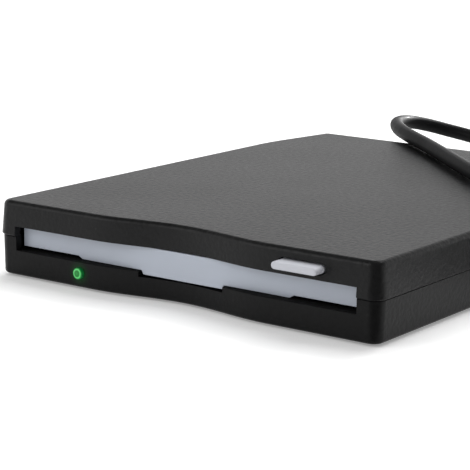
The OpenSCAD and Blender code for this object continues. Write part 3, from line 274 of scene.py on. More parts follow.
def sparkedPlastic(name, colour, roughness, depth, specular, grainSize=0.34, lipZ=0):
    finish = Finish(name, colour, roughness, Specular_IOR_Level=specular, Emission_Strength=float(lipZ > 0))
    grain = finish.noise(1 / (grainSize * mm), 4.0)
    fine = finish.noise(3.1 / (grainSize * mm), 2.0)
    mottle = finish.noise(0.34 / (grainSize * mm), 3.0)
    cloud = finish.noise(38, 3.0)
    dust = finish.noise(520, 2.0).spread(0.66, 0.78)
    tone = finish.mix(dust * 0.25, finish.shade(cloud * 0.4 + mottle * 0.6, 0.5, 1.5),
                      tuple(min(part * 2.2 + 0.01, 1) for part in colour) + (1.0,))
    gloss = roughness - 0.16 + cloud * 0.06 + fine * 0.06 + mottle * 0.2
    if lipZ:  # the slot's dull lip, and the lamp's light on the plastic round it
        x, z = finish.axis("X"), finish.axis("Z")
        low, high = (lipZ - slotLip["half"]) * mm, (lipZ + slotLip["half"]) * mm
        lip = (z > low) * (z < high) * (x * x < (case["slotHalf"] * mm) ** 2)
        gloss += lip * slotLip["rougher"]
        reach = finish.distance(lensCentre, (1, 1, 1))
        spill = 1 - reach.spread(lampSpill["near"] * mm, lampSpill["far"] * mm)
        finish.put("Emission Color", finish.mix(spill * spill, (0, 0, 0, 1), lampSpill["glow"]))
    return finish.surface(tone, gloss, grain * 0.4 + fine * 0.2 + mottle * 2.6, depth)


def satinPlastic(name, colour, roughness):
    finish = Finish(name, colour, roughness, Specular_IOR_Level=0.5)
    grain = finish.noise(5200, 3.0)
    cloud = finish.noise(90, 4.0)
    streak = finish.noise(260, 3.0, (0.12, 1, 1))
    return finish.surface(finish.shade(cloud * 0.6 + streak * 0.4, 0.93, 1.06),
                          roughness - 0.05 + streak * 0.1, grain, 0.006)


def rubber(name, colour):
    finish = Finish(name, colour, 0.6, Sheen_Weight=0.15, Sheen_Roughness=0.4)
    grain = finish.noise(3800, 4.0)
    bloom = finish.noise(130, 4.0).spread(0.45, 0.75)
    return finish.surface(finish.shade(bloom, 0.8, 1.7), 0.6 + bloom * 0.12, grain, 0.01)


def cordJacket(name, colour):
    finish = Finish(name, colour, 0.6, Specular_IOR_Level=0.06, Coat_Weight=0.04, Coat_Roughness=0.2)
    grain = finish.noise(2600, 3.0)
    drawn = finish.noise(420, 4.0)
    scuff = finish.noise(700, 5.0).spread(0.6, 0.75)
    return finish.surface(finish.shade(drawn * 0.7 + scuff * 0.3, 0.75, 1.5),
                          0.55 + drawn * 0.12 + scuff * 0.1, grain * 0.4 + drawn * 0.6, 0.02)


def platedSheet(name, colour):
    finish = Finish(name, colour, 0.34, 1.0)
    rolled = finish.noise(2400, 4.0, (1, 0.03, 1))
    spangle = finish.cells(420, output="Color")
    stain = finish.noise(70, 5.0)
    scratch = finish.noise(1500, 2.0, (0.05, 1, 1)).spread(0.68, 0.72)
    tone = finish.add("ShaderNodeRGBToBW", {}, {0: spangle})
    return finish.surface(finish.shade(tone * 0.4 + stain * 0.6, 0.86, 1.08),
                          0.26 + rolled * 0.14 + stain * 0.08 - scratch * 0.08, rolled * 0.7 - scratch, 0.004)


def groundSteel(name, colour, roughness=0.18):
    finish = Finish(name, colour, roughness, 1.0)
    lines = finish.noise(5200, 3.0, (1, 0.02, 1))
    smear = finish.noise(240, 4.0)
    return finish.surface(finish.shade(smear, 0.92, 1.05),
                          roughness - 0.05 + lines * 0.1 + smear * 0.06, lines, 0.0015)


def blackedSteel(name, colour):
    finish = Finish(name, colour, 0.35, 0.9)
    wear = finish.noise(900, 4.0).spread(0.55, 0.7)
    return finish.surface(finish.shade(wear, 0.8, 2.2), 0.42 - wear * 0.15, finish.noise(3400, 2.0), 0.003)


def drawnWire(name, colour):
    finish = Finish(name, colour, 0.28, 1.0)
    lines = finish.noise(3000, 3.0, (1, 1, 0.3))
    return finish.surface(finish.shade(finish.noise(600, 3.0), 0.8, 1.1), 0.22 + lines * 0.15, lines, 0.002)


def sinteredBronze(name, colour):
    finish = Finish(name, colour, 0.45, 1.0)
    pores = finish.cells(5200).spread(0.05, 0.35)
    return finish.surface(finish.shade(pores, 0.45, 1.08), 0.62 - pores * 0.2, pores, 0.01)


def turnedMetal(name, colour, centre):  # fine rings round the spindle
    finish = Finish(name, colour, 0.3, 1.0)
    radius = finish.distance(centre, (1, 1, 0))
    rings = (radius * 9000).sine()
    patch = finish.noise(1600, 2.0, (1, 1, 0.2))
    return finish.surface(finish.shade(finish.noise(110, 3.0), 0.9, 1.06),
                          0.27 + rings * 0.05 + patch * 0.08, rings * 0.5 + patch * 0.4, 0.003)


def mouldedMagnet(name, colour):
    finish = Finish(name, colour, 0.6, 0.25)
    grit = finish.noise(6000, 5.0)
    return finish.surface(finish.shade(grit, 0.6, 1.6), 0.5 + grit * 0.2, grit, 0.006)


def enamelledCopper(name, colour):
    finish = Finish(name, colour, 0.25, 1.0, Coat_Roughness=0.1, Coat_Weight=0.5)
    tone = finish.noise(800, 3.0)
    return finish.surface(finish.shade(tone, 0.7, 1.15), 0.2 + tone * 0.12, finish.noise(5200, 2.0), 0.003)


def circuitBoard(name, colour):  # mask with raised tracks and tinned pads
    finish = Finish(name, colour, 0.32, Specular_IOR_Level=0.5)
    x, y = finish.axis("X"), finish.axis("Y")
    wander = finish.noise(160, 1.0)
    alongX = ((y * 900 + wander.spread(0.45, 0.55) * 1.5).fraction() < 0.3) * (wander > 0.47)
    alongY = ((x * 900).fraction() < 0.3) * (wander < 0.47)
    tracks = finish.add("ShaderNodeMath", {"operation": "MAXIMUM"}, {0: alongX, 1: alongY})
    pads = finish.cells(520) < 0.17
    masked = finish.mix(tracks, finish.shade(finish.noise(60, 2.0), 0.85, 1.1),
                        tuple(part * 1.7 + 0.01 for part in colour) + (1.0,))
    finish.put("Metallic", pads * 0.9)
    return finish.surface(finish.mix(pads, masked, (0.62, 0.6, 0.52, 1.0)),
                          0.3 + finish.noise(2600, 2.0) * 0.12, tracks + pads * 1.5, 0.02)


def chipBody(name, colour):
    finish = Finish(name, colour, 0.6)
    grit = finish.noise(7000, 4.0)
    return finish.surface(finish.shade(grit * 0.6 + finish.noise(400, 2.0) * 0.4, 0.7, 1.6),
                          0.52 + grit * 0.16, grit, 0.008)


def filledMoulding(name, colour):  # glass fibres show as short pale flecks
    finish = Finish(name, colour, 0.5)
    flecks = finish.noise(2600, 2.0, (1, 0.22, 1)).spread(0.6, 0.7)
    return finish.surface(finish.shade(flecks, 0.8, 2.6),
                          0.46 + flecks * 0.16, flecks * 0.4 + finish.noise(900, 3.0) * 0.6, 0.008)


def lappedCeramic(name, colour):
    finish = Finish(name, colour, 0.12, Coat_Weight=0.3)
    smear = finish.noise(500, 4.0)
    return finish.surface(finish.shade(smear, 0.94, 1.04),
                          0.1 + smear * 0.12, finish.noise(3200, 1.0, (1, 0.05, 1)), 0.0008)


def creamMoulding(name, colour, roughness=0.42):
    finish = Finish(name, colour, roughness, Subsurface_Weight=0.08, Subsurface_Scale=0.0006)
    flow = finish.noise(220, 4.0, (1, 0.4, 1))
    return finish.surface(finish.shade(flow, 0.93, 1.05),
                          roughness - 0.05 + flow * 0.12, finish.noise(3200, 3.0), 0.005)


def flatRibbon(name, colour, letter):  # film with dark conductors under it
    finish = Finish(name, colour, 0.3, Specular_IOR_Level=0.5)
    across = (finish.axis(letter) * 1550).fraction()
    wires = across.spread(0.3, 0.42) * (1 - across.spread(0.62, 0.74))
    film = finish.shade(finish.noise(200, 3.0), 0.94, 1.05)
    return finish.surface(finish.mix(wires * 0.75, film, (0.42, 0.34, 0.24, 1.0)),
                          0.24 + finish.noise(900, 3.0) * 0.14, wires, 0.02)


def lampGreen(name, centre, radius):  # lit from behind: bright ring, deeper middle
    finish = Finish(name, (0.01, 0.09, 0.02), 0.16, Specular_IOR_Level=0.3, Emission_Strength=1.0)
    reach = finish.distance(centre, (1, 0, 1)) / radius
    swirl = finish.noise(900, 2.0) * 0.16
    glow = finish.ramp(reach + swirl - 0.08, [
        (0.0, (0.012, 0.2, 0.03, 1)), (0.5, (0.005, 0.1, 0.015, 1)),
        (0.72, (0.12, 0.62, 0.18, 1)), (0.86, (0.01, 0.2, 0.03, 1)), (1.0, (0.0, 0.04, 0.01, 1)),
    ])
    finish.put("Emission Color", glow)
    return finish.surface(finish.shade(finish.noise(1200, 2.0), 0.8, 1.2),
                          0.12 + finish.noise(2000, 2.0) * 0.1, finish.noise(700, 2.0), 0.01)


def wovenStrap(name, colour):
    finish = Finish(name, colour, 0.85, Specular_IOR_Level=0.2, Sheen_Weight=0.1, Sheen_Roughness=0.5)
    x, y, z = (finish.axis(letter) for letter in "XYZ")
    warp = ((x + z) * 9000).sine()
    weft = (y * 9000).sine()
    weave = warp * weft
    return finish.surface(finish.shade(weave * 0.4 + finish.noise(900, 3.0) * 0.6, 0.6, 1.9),
                          0.8 + weave * 0.08, weave, 0.08)


spindleCentre = sum(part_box("spindle_shaft"), Vector()) / 2
lensCentre = Vector(((lensBox[0].x + lensBox[1].x) / 2, front, (lensBox[0].z + lensBox[1].z) / 2)) * mm
ribbonColour = (0.7, 0.67, 0.56)
finishes = {
    "case_upper": sparkedPlastic("caseUpper", (0.009, 0.009, 0.0093), 0.36, depth=0.05, specular=0.17),
    "case_lower": sparkedPlastic("caseLower", (0.0075, 0.0075, 0.0077), 0.36, depth=0.03, specular=0.11,
                                 lipZ=case["slotLow"]),
    "flap_grey": satinPlastic("flapGrey", (0.49, 0.53, 0.605), 0.42),
    "button_grey": satinPlastic("buttonGrey", (0.6, 0.61, 0.66), 0.34),
    "rubber_black": rubber("rubberBlack", (0.02, 0.02, 0.02)),
    "lens_green": lampGreen("lensGreen", lensCentre, (lensBox[1].x - lensBox[0].x) / 2 * mm),
    "plated_steel": platedSheet("platedSteel", (0.62, 0.63, 0.65)),
    "bright_steel": groundSteel("brightSteel", (0.72, 0.72, 0.74)),
    "screw_steel": blackedSteel("screwSteel", (0.12, 0.12, 0.125)),
    "spring_steel": drawnWire("springSteel", (0.55, 0.55, 0.57)),
    "bronze": sinteredBronze("bronze", (0.6, 0.42, 0.2)),
    "cast_rotor": turnedMetal("castRotor", (0.66, 0.67, 0.69), spindleCentre),
    "magnet_black": mouldedMagnet("magnetBlack", (0.06, 0.06, 0.065)),
    "copper_coil": enamelledCopper("copperCoil", (0.62, 0.24, 0.09)),
    "board_green": circuitBoard("boardGreen", (0.02, 0.13, 0.05)),
    "chip_black": chipBody("chipBlack", (0.02, 0.02, 0.022)),
    "carriage_black": filledMoulding("carriageBlack", (0.03, 0.03, 0.032)),
    "ceramic": lappedCeramic("ceramic", (0.72, 0.7, 0.64)),
    "lever_cream": creamMoulding("leverCream", (0.7, 0.68, 0.6)),
    "ribbon_cream": flatRibbon("ribbonCream", ribbonColour, "Y"),
    "socket_cream": creamMoulding("socketCream", (0.78, 0.76, 0.69), 0.36),
    "cord_black": cordJacket("cordBlack", (0.0075, 0.0075, 0.008)),
    "plug_black": sparkedPlastic("plugBlack", (0.014, 0.014, 0.015), 0.44, depth=0.01, specular=0.3,
                                 grainSize=0.2),
    "plug_steel": groundSteel("plugSteel", (0.7, 0.7, 0.71), 0.22),
    "plug_white": creamMoulding("plugWhite", (0.8, 0.8, 0.79), 0.3),
}
print("finishes made:", len(finishes))


def dress(piece, slotName, body):
    piece.data.materials.append(finishes[slotName])
    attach(piece, body)
    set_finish(piece, slotName)
    return piece


def addPiece(name, mesh, slotName, body="case", sharpAngle=32):
    for polygon in mesh.polygons:
        polygon.use_smooth = True
    mesh.set_sharp_from_angle(angle=math.radians(sharpAngle))
    mesh.materials.clear()
    return dress(linkNew(name, mesh), slotName, body)


def newMesh(name, bm):
    bmesh.ops.recalc_face_normals(bm, faces=bm.faces)
    for vertex in bm.verts:
        vertex.co *= mm
    mesh = bpy.data.meshes.new(name)
    bm.to_mesh(mesh)
    bm.free()
    return mesh


def addRings(bm, rings, capStart=True, capEnd=True):
    rows = [[bm.verts.new(point) for point in ring] for ring in rings]
    count = len(rows[0])
    for row, nextRow in zip(rows, rows[1:]):
        for i in range(count):
            j = (i + 1) % count
            bm.faces.new((row[i], row[j], nextRow[j], nextRow[i]))
    if capStart:
        bm.faces.new(rows[0][::-1])
    if capEnd:
        bm.faces.new(rows[-1])


def addBox(bm, low, high):
    corners = ((low[0], low[1]), (high[0], low[1]), (high[0], high[1]), (low[0], high[1]))
    addRings(bm, [[(x, y, z) for x, y in corners] for z in (low[2], high[2])])


def addSideBox(bm, side, across, along, upright):  # across is measured outwards from the middle
    left, right = sorted((side * across[0], side * across[1]))
    addBox(bm, (left, along[0], upright[0]), (right, along[1], upright[1]))


def addTurned(bm, profile, origin, along, sides=48, capStart=True, capEnd=True):
    along = Vector(along).normalized()
    side = along.orthogonal().normalized()
    other = along.cross(side)
    angles = [2 * math.pi * i / sides for i in range(sides)]
    rings = []
    for radius, distance in profile:
        centre = Vector(origin) + along * distance
        rings.append([centre + radius * (math.cos(a) * side + math.sin(a) * other) for a in angles])
    addRings(bm, rings, capStart, capEnd)


def addShape(bm, points, depthLow, depthHigh, place):
    addRings(bm, [[place(u, v, depth) for u, v in points] for depth in (depthLow, depthHigh)])


def softenEdges(bm, width, wanted, segments=2, minAngle=30):
    edges = [
        edge for edge in bm.edges
        if len(edge.link_faces) == 2 and edge.calc_face_angle(0) > math.radians(minAngle) and wanted(edge)
    ]
    bmesh.ops.bevel(bm, geom=edges, offset=width, segments=segments, profile=0.5,
                    affect="EDGES", clamp_overlap=True)


def carve(bm, cutters):
    piece = linkNew("blank", newMesh("blank", bm))
    helpers = [piece]
    for cutter in cutters:
        other = linkNew("cutter", newMesh("cutter", cutter))
        cut = piece.modifiers.new("cut", "BOOLEAN")
        cut.operation, cut.solver, cut.object = "DIFFERENCE", "EXACT", other
        helpers.append(other)
    bpy.context.view_layer.update()
    graph = bpy.context.evaluated_depsgraph_get()
    result = bpy.data.meshes.new_from_object(piece.evaluated_get(graph))
    for helper in helpers:
        data = helper.data
        bpy.data.objects.remove(helper)
        bpy.data.meshes.remove(data)
    carved = bmesh.new()
    carved.from_mesh(result)
    bpy.data.meshes.remove(result)
    for vertex in carved.verts:
        vertex.co /= mm
    return carved


def boxCutter(low, high):
    bm = bmesh.new()
    addBox(bm, low, high)
    return bm


def rodCutter(origin, along, radius, length):
    bm = bmesh.new()
    addTurned(bm, [(radius, 0), (radius, length)], origin, along)
    return bm


def keepFlats(piece):  # large flat faces keep their own shading beside roundings
    weighted = piece.modifiers.new("flats", "WEIGHTED_NORMAL")
    weighted.keep_sharp = True
    weighted.weight = 100


def frontAt(x):
    hollow = case["waveDepth"] * (1 + math.cos(math.pi * x / case["waveHalf"])) / 2
    return front + (hollow if abs(x) < case["waveHalf"] else 0)


def sideAt(y):
    bend, slope = case["taperBend"], case["taperIn"] / case["taperLength"]
    s = y - (back - case["taperLength"]) + bend
    drawn = 0 if s < 0 else slope * s * s / (4 * bend) if s < 2 * bend else slope * (s - bend)
    return halfWidth - drawn


def caseOutline(inset):
    frontRadius = max(case["frontRadius"] - inset, 0.5)
    backRadius = max(case["backRadius"] - inset, 0.5)
    bend, half = case["taperBend"], halfWidth - inset
    taperStart, backLine = back - case["taperLength"], back - inset
    backHalf = sideAt(back) - inset
    waveSteps, bendSteps, backSteps, lean = 40, 12, 10, 8
    waveXs = [case["waveHalf"] * i / waveSteps for i in range(waveSteps)]
    right = [(x, frontAt(x) + inset) for x in waveXs] + [(case["waveHalf"], front + inset)]
    for i in range(bendSteps + 1):
        a = math.radians(90 * i / bendSteps)
        x = half - frontRadius * (1 - math.sin(a))
        right.append((x, front + inset + frontRadius * (1 - math.cos(a))))
    for i in range(bendSteps + 1):
        y = taperStart - bend + 2 * bend * i / bendSteps
        right.append((sideAt(y) - inset, y))
    for i in range(backSteps + 1):  # the arc starts where the drawn-in side leans by 8 degrees
        a = math.radians(lean + (90 - lean) / backSteps * i)
        right.append((backHalf - backRadius * (1 - math.cos(a)), backLine - backRadius * (1 - math.sin(a))))
    return right + [(-x, y) for x, y in right[:0:-1]]


def quarterRound(z, inset, radius, up, steps=8):
    turns = [math.radians(90 * i / steps) for i in range(steps + 1)]
    return [(z + up * radius * math.sin(a), inset + radius * (1 - math.cos(a))) for a in turns]


def addCaseLoft(bm, levels):
    addRings(bm, [[(x, y, z) for x, y in caseOutline(inset)] for z, inset in levels])


def caseLoftCutter(levels):
    bm = bmesh.new()
    addCaseLoft(bm, levels)
    return bm


def pillOutline(width, height, inset, steps=10):
    radius = height / 2 - inset
    middle = width / 2 - height / 2
    points = []
    for side in (1, -1):
        for i in range(steps + 1):
            a = math.radians(90 - 180 * i / steps)
            points.append((side * (middle + radius * math.cos(a)), side * radius * math.sin(a)))
    return points


button = {"width": 11.3, "height": 1.7, "x": 33, "z": 14.6, "gap": 0.4, "round": 0.42, "neck": 0.4,
          "stemIn": 0.8, "stemBack": 1.4, "lipGap": 0.3, "lipThick": 0.8}


def buttonHole():
    bm = bmesh.new()
    shape = pillOutline(button["width"] + 2 * button["gap"], button["height"] + 2 * button["gap"], 0)
    addShape(bm, shape, front - 1, front + case["wall"] + 1,
             lambda u, v, depth: (button["x"] + u, depth, button["z"] + v))
    return bm


def reliefHole():
    return rodCutter((exitX, back - 4, partZ), (0, 1, 0), case["neckRadius"], 6)


def isMouth(edge, margin=0.02):  # edges where the slot or the button's hole meets the front
    middle = (edge.verts[0].co + edge.verts[1].co) / 2
    return middle.y < frontAt(middle.x) + 0.25 and middle.z > case["slotLow"] - case["notchDepth"] - margin


upperInside = {
    "bossX": halfWidth - 11, "bossY": back - 5.4, "bossRadius": 2.6, "boreRadius": 1,
    "ribs": ((20, 21.2), (36, 37.2)), "ribFrom": -38.35, "ribTo": 25.65, "ribLow": 15.6,
    "tongues": (-48.35, -18.35, 11.65), "tongueLength": 10, "tongueIn": (1.15, 0.5),
    "tongueUp": (-1.4, 1.2), "rootIn": (0.6, 0), "rootUp": (0.05, 1.15), "rootShort": 0.1,
    "bracketOut": (0.02, 1.7), "bracketLong": 1.5, "bracketLow": 1.3,
}


def makeUpperCase():
    seam, draft, wall = case["seam"], case["draft"], case["wall"]
    bm = bmesh.new()
    levels = [(partZ, seam), (partZ + seam, 0)]
    levels += quarterRound(topZ - case["topRound"], draft, case["topRound"], 1)
    addCaseLoft(bm, levels)
    slotHalf, slotTop = case["slotHalf"], case["slotTop"]
    cutters = [
        caseLoftCutter([(partZ - 0.5, wall + 0.05), (topZ - case["roof"], wall + draft)]),
        boxCutter((-slotHalf, front - 1, partZ - 1), (slotHalf, case["hingeY"] + case["slotBack"], slotTop)),
        boxCutter((2 - case["waveHalf"], case["hingeY"] + 0.3, slotTop - 1),
                  (case["waveHalf"] - 2, case["hingeY"] + case["slotBack"], case["hingeZ"] + 0.35)),
        buttonHole(),
        reliefHole(),
    ]
    bm = carve(bm, cutters)
    softenEdges(bm, case["mouthRound"], isMouth)
    roofZ = topZ - case["roof"] + 0.01
    for side in (-1, 1):
        # Screw bosses, ribs, tongues and the flap's pivot brackets
        boss = [(upperInside["bossRadius"], 0), (upperInside["bossRadius"], roofZ - partZ),
                (upperInside["boreRadius"], roofZ - partZ), (upperInside["boreRadius"], 0),
                (upperInside["bossRadius"], 0)]
        addTurned(bm, boss, (side * upperInside["bossX"], upperInside["bossY"], partZ), (0, 0, 1),
                  32, False, False)
        for rib in upperInside["ribs"]:
            addSideBox(bm, side, rib, (upperInside["ribFrom"], upperInside["ribTo"]),
                       (upperInside["ribLow"], roofZ))
        for y in upperInside["tongues"]:
            end, short = y + upperInside["tongueLength"], upperInside["rootShort"]
            addSideBox(bm, side, [halfWidth - wall - x for x in upperInside["tongueIn"]], (y, end),
                       [partZ + z for z in upperInside["tongueUp"]])
            addSideBox(bm, side, [halfWidth - wall - x for x in upperInside["rootIn"]],
                       (y + short, end - short), [partZ + z for z in upperInside["rootUp"]])
        addSideBox(bm, side, [slotHalf + x for x in upperInside["bracketOut"]],
                   (case["hingeY"] - upperInside["bracketLong"], case["hingeY"] + upperInside["bracketLong"]),
                   (case["hingeZ"] - upperInside["bracketLow"], roofZ))
    piece = addPiece("upperShell", newMesh("upperShell", bm), "case_upper")
    keepFlats(piece)
    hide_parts("upper_case")


lowerInside = {
    "postX": halfWidth - 11, "postY": back - 5.4, "postRadius": 2.7, "headRadius": 2, "headDepth": 2.2,
    "boreRadius": 1.15, "footX": halfWidth - 16, "footYs": (front + 13, back - 16), "footHole": 4.1,
    "footSink": 0.4, "screwX": 43.2, "screwYs": (-53.25, 39.65), "screwHead": 2.1, "screwSink": 0.9,
    "screwHole": 1.3, "padRadius": 3, "padRise": 0.28, "ledge": -61.75,
}


def makeLowerCase():
    step, seam, wall = case["step"], case["seam"], case["wall"]
    bottomRound, lowDraft = case["bottomRound"], case["lowDraft"]
    inset = step + lowDraft
    floorZ = bottomZ + case["floor"]
    bm = bmesh.new()
    levels = quarterRound(bottomZ + bottomRound, inset + lowDraft, bottomRound, -1)[::-1]
    levels += [(partZ - seam, step), (partZ, step + seam)]
    addCaseLoft(bm, levels)
    slotHalf, slotLow = case["slotHalf"], case["slotLow"]
    inner = [(x, max(y, lowerInside["ledge"])) for x, y in caseOutline(inset + wall)]
    cavity = bmesh.new()
    addShape(cavity, inner, floorZ, slotLow + 0.5, lambda x, y, z: (x, y, z))
    cutters = [
        cavity,
        caseLoftCutter([(slotLow, inset + wall), (partZ + 1, inset + wall)]),
        boxCutter((-slotHalf, front - 1, slotLow), (slotHalf, case["hingeY"] + case["slotBack"], partZ + 1)),
        boxCutter((-case["notchHalf"], front - 1, slotLow - case["notchDepth"]),
                  (case["notchHalf"], lowerInside["ledge"] + 1, slotLow + 1)),
        rodCutter((lensCentre.x / mm, front - 1, lensCentre.z / mm), (0, 1, 0), case["lensHole"], 6),
        reliefHole(),
    ]
    for x in (-lowerInside["footX"], lowerInside["footX"]):
        for y in lowerInside["footYs"]:
            cutters.append(rodCutter((x, y, bottomZ - 1), (0, 0, 1), lowerInside["footHole"],
                                     1 + lowerInside["footSink"]))
    for side in (-1, 1):
        for y in lowerInside["screwYs"]:
            below = (side * lowerInside["screwX"], y, bottomZ - 1)
            cutters += [
                rodCutter(below, (0, 0, 1), lowerInside["screwHead"], 1 + lowerInside["screwSink"]),
                rodCutter(below, (0, 0, 1), lowerInside["screwHole"], 4),
            ]
        cutters.append(rodCutter((side * lowerInside["postX"], lowerInside["postY"], bottomZ - 1),
                                 (0, 0, 1), lowerInside["headRadius"], 4))
    bm = carve(bm, cutters)
    softenEdges(bm, case["mouthRound"], isMouth)
    rootZ, postTop, headTop = floorZ - 0.2, partZ - 0.02, bottomZ + lowerInside["headDepth"]
    postRadius, boreRadius = lowerInside["postRadius"], lowerInside["boreRadius"]
    headRadius = lowerInside["headRadius"]
    post = [(postRadius, rootZ), (postRadius, postTop), (boreRadius, postTop), (boreRadius, headTop),
            (headRadius, headTop), (headRadius, rootZ), (postRadius, rootZ)]
    padRadius, holeRadius = lowerInside["padRadius"], lowerInside["screwHole"]
    padTop = floorZ + lowerInside["padRise"]
    pad = [(padRadius, rootZ), (padRadius, padTop), (holeRadius, padTop), (holeRadius, rootZ),
           (padRadius, rootZ)]
    for side in (-1, 1):
        place = (side * lowerInside["postX"], lowerInside["postY"], 0)
        addTurned(bm, post, place, (0, 0, 1), 32, False, False)
        for y in lowerInside["screwYs"]:
            addTurned(bm, pad, (side * lowerInside["screwX"], y, 0), (0, 0, 1), 32, False, False)
    piece = addPiece("lowerShell", newMesh("lowerShell", bm), "case_lower")
    keepFlats(piece)
    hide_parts("lower_case")


makeUpperCase()
makeLowerCase()
print("case made")


flap = {"thickness": 1, "tab": 11.3, "tabSlant": 0.5, "tabZ": 5.75, "midZ": 6.65, "midX": 28.5, "endX": 29.6,
        "endZ": 7.3, "half": flapBox[1].x - 1.9, "tall": 12.7, "waveX": 25, "top": 12.05, "edge": 0.2,
        "armWidth": 1.5, "armBack": 1.6, "barrel": 0.89, "pin": 0.7, "pinEnd": 2.2, "pinTip": 0.5,
        "tipEnd": 2.4, "springRod": 0.6, "rodLength": 2.6, "rodIn": 1.4,
        "ribs": (-34, -17, 0, 17, 34), "ribHalf": 0.4, "ribOut": 1.25, "ribRoot": 0.9, "ribTop": 1.2}


def makeFlap():
    bm = bmesh.new()
    right = [
        (flap["tab"] - flap["tabSlant"], flap["tabZ"]), (flap["tab"], flap["midZ"]),
        (flap["midX"], flap["midZ"]), (flap["endX"], flap["endZ"]), (flap["half"], flap["endZ"]),
        (flap["half"], flap["tall"]), (flap["waveX"], flap["tall"]), (flap["waveX"], flap["top"]),
    ]
    shape = right + [(-x, z) for x, z in right[::-1]]
    face = flapBox[0].y
    addShape(bm, shape, face, face + flap["thickness"], lambda x, z, y: (x, y, z))
    softenEdges(bm, flap["edge"], lambda edge: max(v.co.y for v in edge.verts) < face + 0.01, 3)
    hingeY, hingeZ, end = case["hingeY"], case["hingeZ"], flap["half"]
    armX = end - flap["armWidth"]
    barrel = [(flap["barrel"], 0), (flap["barrel"], flap["armWidth"])]
    pin = [(flap["pin"], 0), (flap["pin"], flap["pinEnd"]), (flap["pinTip"], flap["tipEnd"])]
    for side in (-1, 1):
        addSideBox(bm, side, (armX, end), (face, face + flap["armBack"]), (flap["tall"] - 1, hingeZ))
        addTurned(bm, barrel, (side * armX, hingeY, hingeZ), (side, 0, 0), 32)
        addTurned(bm, pin, (side * (end - 0.5), hingeY, hingeZ), (side, 0, 0), 32)
    springRod = [(flap["springRod"], 0), (flap["springRod"], flap["rodLength"])]
    addTurned(bm, springRod, (flap["rodIn"] - end, hingeY, hingeZ), (1, 0, 0), 32)
    for x in flap["ribs"]:  # stiffening ribs on the inner face
        addBox(bm, (x - flap["ribHalf"], face + flap["ribRoot"], flap["endZ"] + 0.3),
               (x + flap["ribHalf"], face + flap["ribOut"], flap["top"] - flap["ribTop"]))
    piece = addPiece("flapPanel", newMesh("flapPanel", bm), "flap_grey", "flap")
    keepFlats(piece)
    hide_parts("flap")


def makeButton():
    bm = bmesh.new()
    faceY = buttonBox[0].y
    steps = 8
    rings = []
    for i in range(steps + 1):
        a = math.radians(90 * i / steps)
        inset = button["round"] * (1 - math.sin(a))
        depth = faceY + button["round"] * (1 - math.cos(a))
        rings.append([(button["x"] + u, depth, button["z"] + v)
                      for u, v in pillOutline(button["width"], button["height"], inset)])
    rings.append([(button["x"] + u, front + button["neck"], button["z"] + v)
                  for u, v in pillOutline(button["width"], button["height"], 0)])
    addRings(bm, rings)
    low, high = buttonBox
    half = button["width"] / 2 - button["stemIn"]
    addBox(bm, (button["x"] - half, front + button["neck"] - 0.02, low.z),
           (button["x"] + half, case["hingeY"] + button["stemBack"], button["z"] + button["height"] / 2))
    lipY = front + case["wall"] + case["draft"] + button["lipGap"]
    addBox(bm, (low.x, lipY, low.z), (high.x, lipY + button["lipThick"], high.z))
    piece = addPiece("ejectKey", newMesh("ejectKey", bm), "button_grey", "ejector")
    keepFlats(piece)
    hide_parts("eject_button")


lens = {"bulge": 0.343, "tip": 0.02, "steps": 10}


def makeLens():
    bm = bmesh.new()
    radius = (lensBox[1].x - lensBox[0].x) / 2
    angles = [math.radians(90 * i / lens["steps"]) for i in range(1, lens["steps"] + 1)]
    dome = [(radius * math.sin(a), -lens["bulge"] * math.cos(a)) for a in angles]
    profile = [(lens["tip"], -lens["bulge"])] + dome + [(radius, lensBox[1].y - front)]
    addTurned(bm, profile, (lensCentre.x / mm, front, lensCentre.z / mm), (0, 1, 0), 40)
    piece = addPiece("lampLens", newMesh("lampLens", bm), "lens_green")
    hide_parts("lamp_lens")


makeFlap()
makeButton()
makeLens()
print("flap, button and lens made")


lead = {"diameter": 4, "steps": 6, "sides": 24}
coil = {"centre": (86, 34), "radius": 26, "pitch": 4.5, "low": 2.5, "rise": 4.5, "turns": 4.5}
reliefEnd = reliefBox[1].y
leadPoints = [
    (exitX, reliefEnd, partZ), (4, 84.4, 9.9), (4, 86.8, 9.9), (3.5, 91.4, 10.3), (1.3, 97.2, 11.2),
    (-3, 101.8, 12.2), (-9.4, 104.9, 13.3), (-16.4, 106.6, 14.3), (-23, 106.9, 15.2),
    (-29, 106, 16.2), (-33.9, 103.2, 17.5), (-36.9, 98.8, 18.6), (-37.5, 93.6, 19.2),
    (-36, 88.3, 19.5), (-32.9, 83, 19.7), (-29.2, 77.9, 19.9), (-25.2, 73, 20.1), (-19, 66.6, 20.2),
    (-12, 60.2, 20.2), (-5.6, 54.6, 20.1), (4.4, 44.9, 20.1), (14.2, 35.3, 20.1), (24, 26.1, 20.1),
    (34, 17.7, 20.1), (43, 12.3, 20.2), (50.6, 9.5, 20.1), (56.5, 8.4, 17.7), (60.8, 8, 13.2),
    (64.3, 8, 8.6), (68.5, 8, 5), (73.6, 8, 3), (78, 8, 2.5), (80, 8, 2.5), (82, 8, 2.5),
]
tailPoints = [
    (82, 60, 7), (80, 60, 7), (76, 60.2, 6.8), (70, 61.8, 6), (64.8, 65.4, 5), (61.3, 70.4, 4.3),
    (59.7, 75, 4), (59.4, 78, 4), (59.4, 80, 4),
]


def smoothRoute(points, steps):
    points = [Vector(point) for point in points]
    route = []
    for i in range(len(points) - 1):
        a, b = points[max(i - 1, 0)], points[i]
        c, d = points[i + 1], points[min(i + 2, len(points) - 1)]
        for k in range(steps):
            s = k / steps
            route.append((2 * b + (c - a) * s + (2 * a - 5 * b + 4 * c - d) * s * s
                          + (3 * b - a - 3 * c + d) * s * s * s) / 2)
    return route + [points[-1]]


